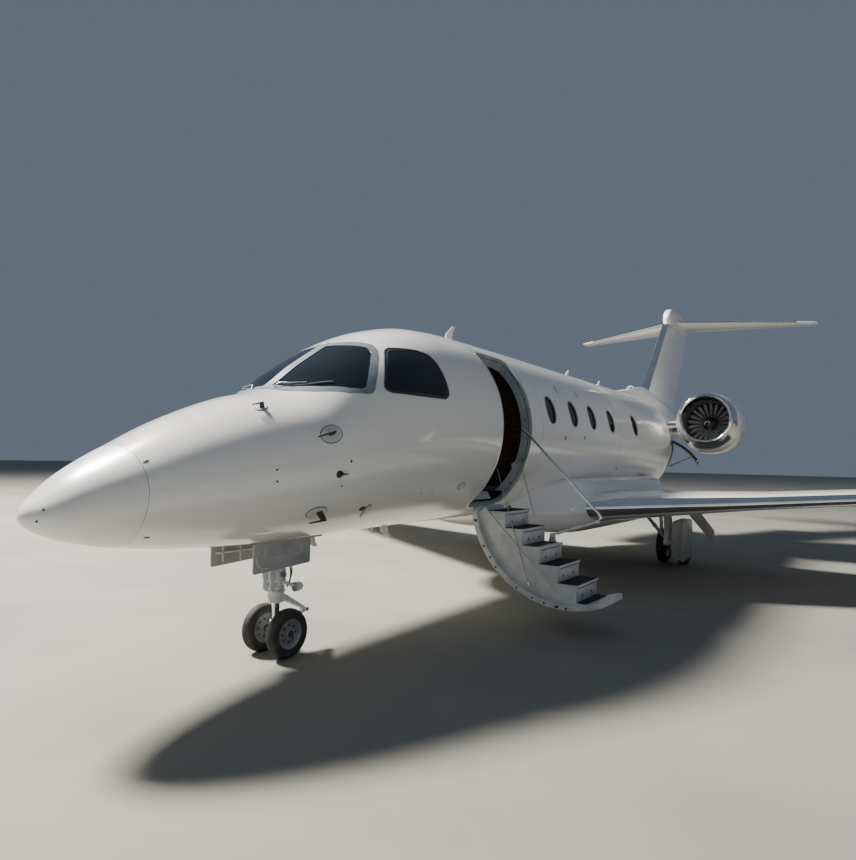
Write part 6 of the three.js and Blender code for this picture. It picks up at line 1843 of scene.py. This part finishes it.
def makeSeats():
    for kind in ("pilot", "cabin"):
        row = seat[kind]
        pads, frames, seams = bmesh.new(), bmesh.new(), []
        for s, way in row["rows"]:
            for side in (1, -1):
                place = placed((noseTip - s, side * row["side"], seat["floor"]))
                place = place @ Matrix.Diagonal((way, 1, 1, 1)).to_4x4()
                wide = row["half"] * 2
                cushion(pads, place @ placed((0.045, 0, 0.375)), (0.41, wide * 0.86, 0.13))
                lean = rolled(-17, "Y")
                cushion(pads, place @ placed((-0.29, 0, 0.64)) @ lean, (0.13, wide * 0.86, 0.46), 0.3)
                cushion(pads, place @ placed((-0.375, 0, 0.915)) @ lean, (0.1, wide * 0.6, 0.15), 0.3)
                for arm in (1, -1):
                    cushion(pads, place @ placed((-0.03, arm * row["half"] * 0.9, 0.5)), (0.3, 0.055, 0.05), 0.2)
                    block(frames, place @ Vector((-0.16, arm * row["half"] * 0.9 - 0.018, 0.28)),
                        place @ Vector((0.1, arm * row["half"] * 0.9 + 0.018, 0.48)), 0.006)
                block(frames, place @ Vector((-0.17, -wide * 0.38, 0)), place @ Vector((0.17, wide * 0.38, 0.315)),
                    0.02)
                plate(frames, [(-0.2, 0), (0.2, 0), (0.2, 0.62), (-0.2, 0.62)], 0.02, place @ placed((-0.25, 0, 0.36))
                    @ lean @ basis((0, 0, 0), (0, 1, 0), (0, 0, 1)), 0.004, 0.04)
                if kind == "pilot":
                    for strap in (-0.07, 0.07):
                        seams.append(([place @ Vector(q) for q in ((-0.33, strap, 0.9), (-0.235, strap, 0.68),
                            (-0.19, strap, 0.5), (-0.06, strap * 1.3, 0.445), (0.02, strap * 1.4, 0.445))], 0.008))
        piece = keep(pads, f"{kind}_seat_cushions", "leather", sharp=70)
        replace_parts(piece, f"{kind}_seats")
        keep(frames, f"{kind}_seat_frames", "cabinTrim")
        if seams:
            lines(f"{kind}_seat_harness", seams, "darkTrim")
    print("seats made")


wiper = {
    # station, y, and height over the skin
    "arm": [(2.06, 0.16, 0.01), (2.09, 0.17, 0.03), (2.13, 0.3, 0.03), (2.2, 0.44, 0.02)],
    "blade": [(2.12, 0.24, 0.006), (2.14, 0.34, 0.006), (2.19, 0.44, 0.006), (2.26, 0.54, 0.006),
        (2.34, 0.64, 0.006)],
    "armRadius": 0.007, "bladeRadius": 0.006,
}


def makeCockpit():
    bm = bmesh.new()
    for y in (-0.56, -0.19, 0.19, 0.56):
        axes = basis(at(2.698, y + 0.15, 2.04), (0, -1, 0), (0.06, 0, 0.37))
        plate(bm, [(0, 0), (0.3, 0), (0.3, 0.22), (0, 0.22)], 0.008, axes, 0.002, 0.012)
    keep(bm, "cockpit_displays", "cabinGlass", "airframe", "dark_trim")
    bm = bmesh.new()
    for y in (-0.47, 0.47):
        bar(bm, at(2.83, y, 2.02), at(3.0, y, 2.06), 0.016, sides=16)
        for side in (1, -1):
            bar(bm, at(2.99, y, 2.05), at(2.99, y + side * 0.12, 2.09), 0.013, sides=14)
            bar(bm, at(2.99, y + side * 0.12, 2.09), at(2.97, y + side * 0.14, 2.18), 0.015, sides=14)
    for k in range(2):
        bar(bm, at(2.95 + k * 0.08, 0.03 - k * 0.06, 1.9), at(2.9 + k * 0.08, 0.03 - k * 0.06, 2.02), 0.009, sides=12)
    keep(bm, "cockpit_controls", "darkTrim")
    for title, side in bothSides:
        def onPane(s, y, lift):
            angle = acos(min(1, (abs(y) / halfWidth(s)) ** (shoulder(s) / 2)))
            return mirrored(onHull(s, angle, lift), side)
        runs = [([onPane(*spot) for spot in wiper[key]], wiper[key + "Radius"]) for key in ("arm", "blade")]
        lines(f"wiper_{title}", runs, "frameGrey")
    print("cockpit made")


# Small things on the skin

skin = {
    # station, angle up from the waist, half length, half height
    "plates": [(2.071, 17.1, 0.105, 0.078), (2.062, -36.2, 0.105, 0.062), (2.7, -43, 0.035, 0.09),
        (4.101, -35, 0.06, 0.045), (1.638, 54.1, 0.055, 0.035), (6.54, -45.9, 0.04, 0.03)],
    "ports": [(2.62, -40.1, 0.04, 0.03), (6.49, -3.1, 0.018, 0.03), (7.214, -1.7, 0.018, 0.03),
        (6.548, 32.6, 0.012, 0.06), (7.309, 32.7, 0.012, 0.06), (0.68, 39.5, 0.022, 0.008),
        (0.738, -48.5, 0.022, 0.008), (2.144, -10.6, 0.034, 0.034), (1.55, 0, 0.01, 0.008), (1.56, -8, 0.009, 0.01),
        (2.25, -4, 0.01, 0.012), (2.2, -19, 0.008, 0.008), (3.4, -36, 0.008, 0.008), (3.6, -37, 0.008, 0.008),
        (9.0, -25, 0.03, 0.02), (12.3, 5, 0.035, 0.025), (14.2, -10, 0.03, 0.05)],
    "rim": 0.006,
    # station, angle, reach forward, height, thickness
    "probes": [(2.06, 17.1, 0.16, 0.06, 0.018), (2.08, -36.2, 0.15, 0.1, 0.017), (1.638, 54.1, 0.09, 0.05, 0.013),
        (2.16, -10.6, -0.06, 0.03, 0.012)],
    "bumps": [(0.09, 24, 0.006, 0.004), (0.06, -20, 0.006, 0.004)],
    # station, length at the foot, height, sweep
    "blades": [(5.2, 0.17, 0.255, 0.1), (9.3, 0.13, 0.18, 0.07), (11.0, 0.12, 0.17, 0.06)],
    "masts": [(2.72, 0.14, 0.13, 0.05), (3.66, 0.1, 0.08, 0.03), (3.9, 0.14, 0.16, 0.1)],
    "seams": [5.75, 8.9, 11.9, 14.6], "hatches": [(56, 74, 5.6, 6.2), (-48, -20, 12.0, 12.55)],
    # station, angle and height of the foot over the skin
    "beacons": [(4.9, 90, 0), (8.3, -90, 0.34)], "landingLight": (6.225, 0.84, 1.06),
    # y and z of the flaps that hang beside the main legs, and their stations
    "flaps": [(1.96, 1.24), (2.01, 1.24), (2.4, 0.73), (2.4, 0.5), (2.38, 0.5), (1.985, 0.96), (1.96, 1.0)],
    "flapsAt": (10.335, 10.35),
}


# A frame on the skin: along the hull, up it, and out of it
def skinFrame(s, angle):
    a = radians(angle)
    back = onHull(s + 0.01, a) - onHull(s - 0.01, a)
    return basis(onHull(s, a), back, onHull(s, a + 0.01) - onHull(s, a - 0.01))


def ovalPlate(bm, matrix, half, thick):
    sink = 0.004
    outline = [(half[0] * cos(k * pi / 16), half[1] * sin(k * pi / 16)) for k in range(32)]
    return plate(bm, outline, thick + sink, matrix @ placed((0, 0, -sink)), 0.001)


def blade(bm, matrix, foot, tall, sweep, thick=0.014):
    outline = [(-foot / 2, -0.02), (foot / 2, -0.02), (foot / 2 + sweep * 0.4, tall * 0.7), (foot / 2 + sweep, tall),
        (foot * 0.1 + sweep, tall), (-foot / 2 + sweep * 0.45, tall * 0.5)]
    upright = matrix @ basis((0, 0, 0), (1, 0, 0), (0, 0, 1)) @ placed((0, 0, -thick / 2))
    return plate(bm, outline, thick, upright, 0.005, 0.012)


def makeSkinDetails():
    plates, ports, probes, seams = bmesh.new(), bmesh.new(), bmesh.new(), []
    for mirror in (False, True):
        turned = lambda angle: 180 - angle if mirror else angle
        for s, angle, a, b in skin["plates"]:
            ovalPlate(plates, skinFrame(s, turned(angle)), (a, b), 0.004)
            ovalPlate(ports, skinFrame(s, turned(angle)), (a + skin["rim"], b + skin["rim"]), 0.0025)
        for s, angle, a, b in skin["ports"]:
            ovalPlate(ports, skinFrame(s, turned(angle)), (a, b), 0.0035)
        for s, angle, reach, out, thick in skin["probes"]:
            axes = skinFrame(s, turned(angle))
            foot = [(-thick, -0.01), (thick * 2.4, -0.01), (thick * 1.6, out), (-thick * 1.2, out)]
            plate(probes, foot, thick * 1.5, axes @ basis((0, 0, 0), (1, 0, 0), (0, 0, 1))
                @ placed((0, 0, -thick * 0.75)), 0.004, 0.008)
            bar(probes, axes @ Vector((thick * 1.4, 0, out)), axes @ Vector((-reach, 0, out + 0.004)), thick * 0.62,
                thick * 0.4, sides=16)
        for s, angle, radius, tall in skin["bumps"]:
            axes = skinFrame(s, turned(angle))
            spun(probes, [(0, -0.01), (radius * 1.6, -0.01), (radius * 1.5, 0.002), (radius, tall * 0.7),
                (radius * 0.5, tall), (0, tall)], axes.translation, axes.col[2].xyz, 24)
    keep(plates, "skin_plates", "stairLight")
    keep(ports, "skin_ports", "darkTrim")
    keep(probes, "skin_probes", "darkTrim")
    bm = bmesh.new()
    for key, turn in (("blades", 90), ("masts", -90)):
        for s, *shape in skin[key]:
            blade(bm, skinFrame(s, turn), *shape)
    keep(bm, "antenna_blades", "whitePaint")
    for s in skin["seams"]:
        for start, end in ((-88, 88), (92, 268)):
            seams.append(([onHull(s, radians(start + (end - start) * i / 60), 0.0002) for i in range(61)], 0.0013))
    for side in (1, -1):
        for low, high, fore, to in skin["hatches"]:
            loop = [(fore, low), (to, low), (to, high), (fore, high), (fore, low)]
            points = []
            for (s0, a0), (s1, a1) in zip(loop, loop[1:]):
                for i in range(12):
                    s, a = s0 + (s1 - s0) * i / 12, a0 + (a1 - a0) * i / 12
                    points.append(onHull(s, radians(a if side > 0 else 180 - a), 0.0002))
            seams.append((points + points[:1], 0.001))
    lines("skin_seams", seams, "frameGrey", smooth=False, sides=2)
    bm = bmesh.new()
    for s, turn, lift in skin["beacons"]:
        axes = skinFrame(s, turn)
        spun(bm, [(0, -0.02), (0.05, -0.02), (0.045, 0.03), (0.025, 0.055), (0, 0.06)],
            axes.translation + axes.col[2].xyz * lift, axes.col[2].xyz, 28)
    keep(bm, "beacons", "redGlass")
    # Landing lights in the front of the belly fairing
    for title, side in bothSides:
        bm = bmesh.new()
        centre = mirrored(at(*skin["landingLight"]), side)
        spun(bm, [(0, 0.0), (0.06, 0.004), (0.085, 0.02), (0.09, 0.04), (0, 0.05)], centre, (-1, 0, 0), 32)
        keep(bm, f"landing_light_{title}", "lampGlass")
    bm = bmesh.new()
    for side in (1, -1):
        crossPlate(bm, [(side * y, z) for y, z in skin["flaps"]], *skin["flapsAt"], 0.003, 0.02)
    keep(bm, "gear_fairing_flaps", "gearDoorPaint")
    print("skin details made")


makeFuselage()
makeGlazing()
makeCabinWindows()
makeAirstair()
makeWings()
makeTail()
makeBelly()
makeEngines()
makeWheels()
makeNoseGear()
makeMainGear()
makeBaggageDoor()
makeSeats()
makeCockpit()
makeSkinDetails()

# These keep the form of their CAD nodes
plain = {"cabin_floor": "carpet", "cockpit_panel": "darkTrim", "cabin_partitions": "veneer"}
for node, finish in plain.items():
    refined(node, finish)
print("plain nodes dressed")
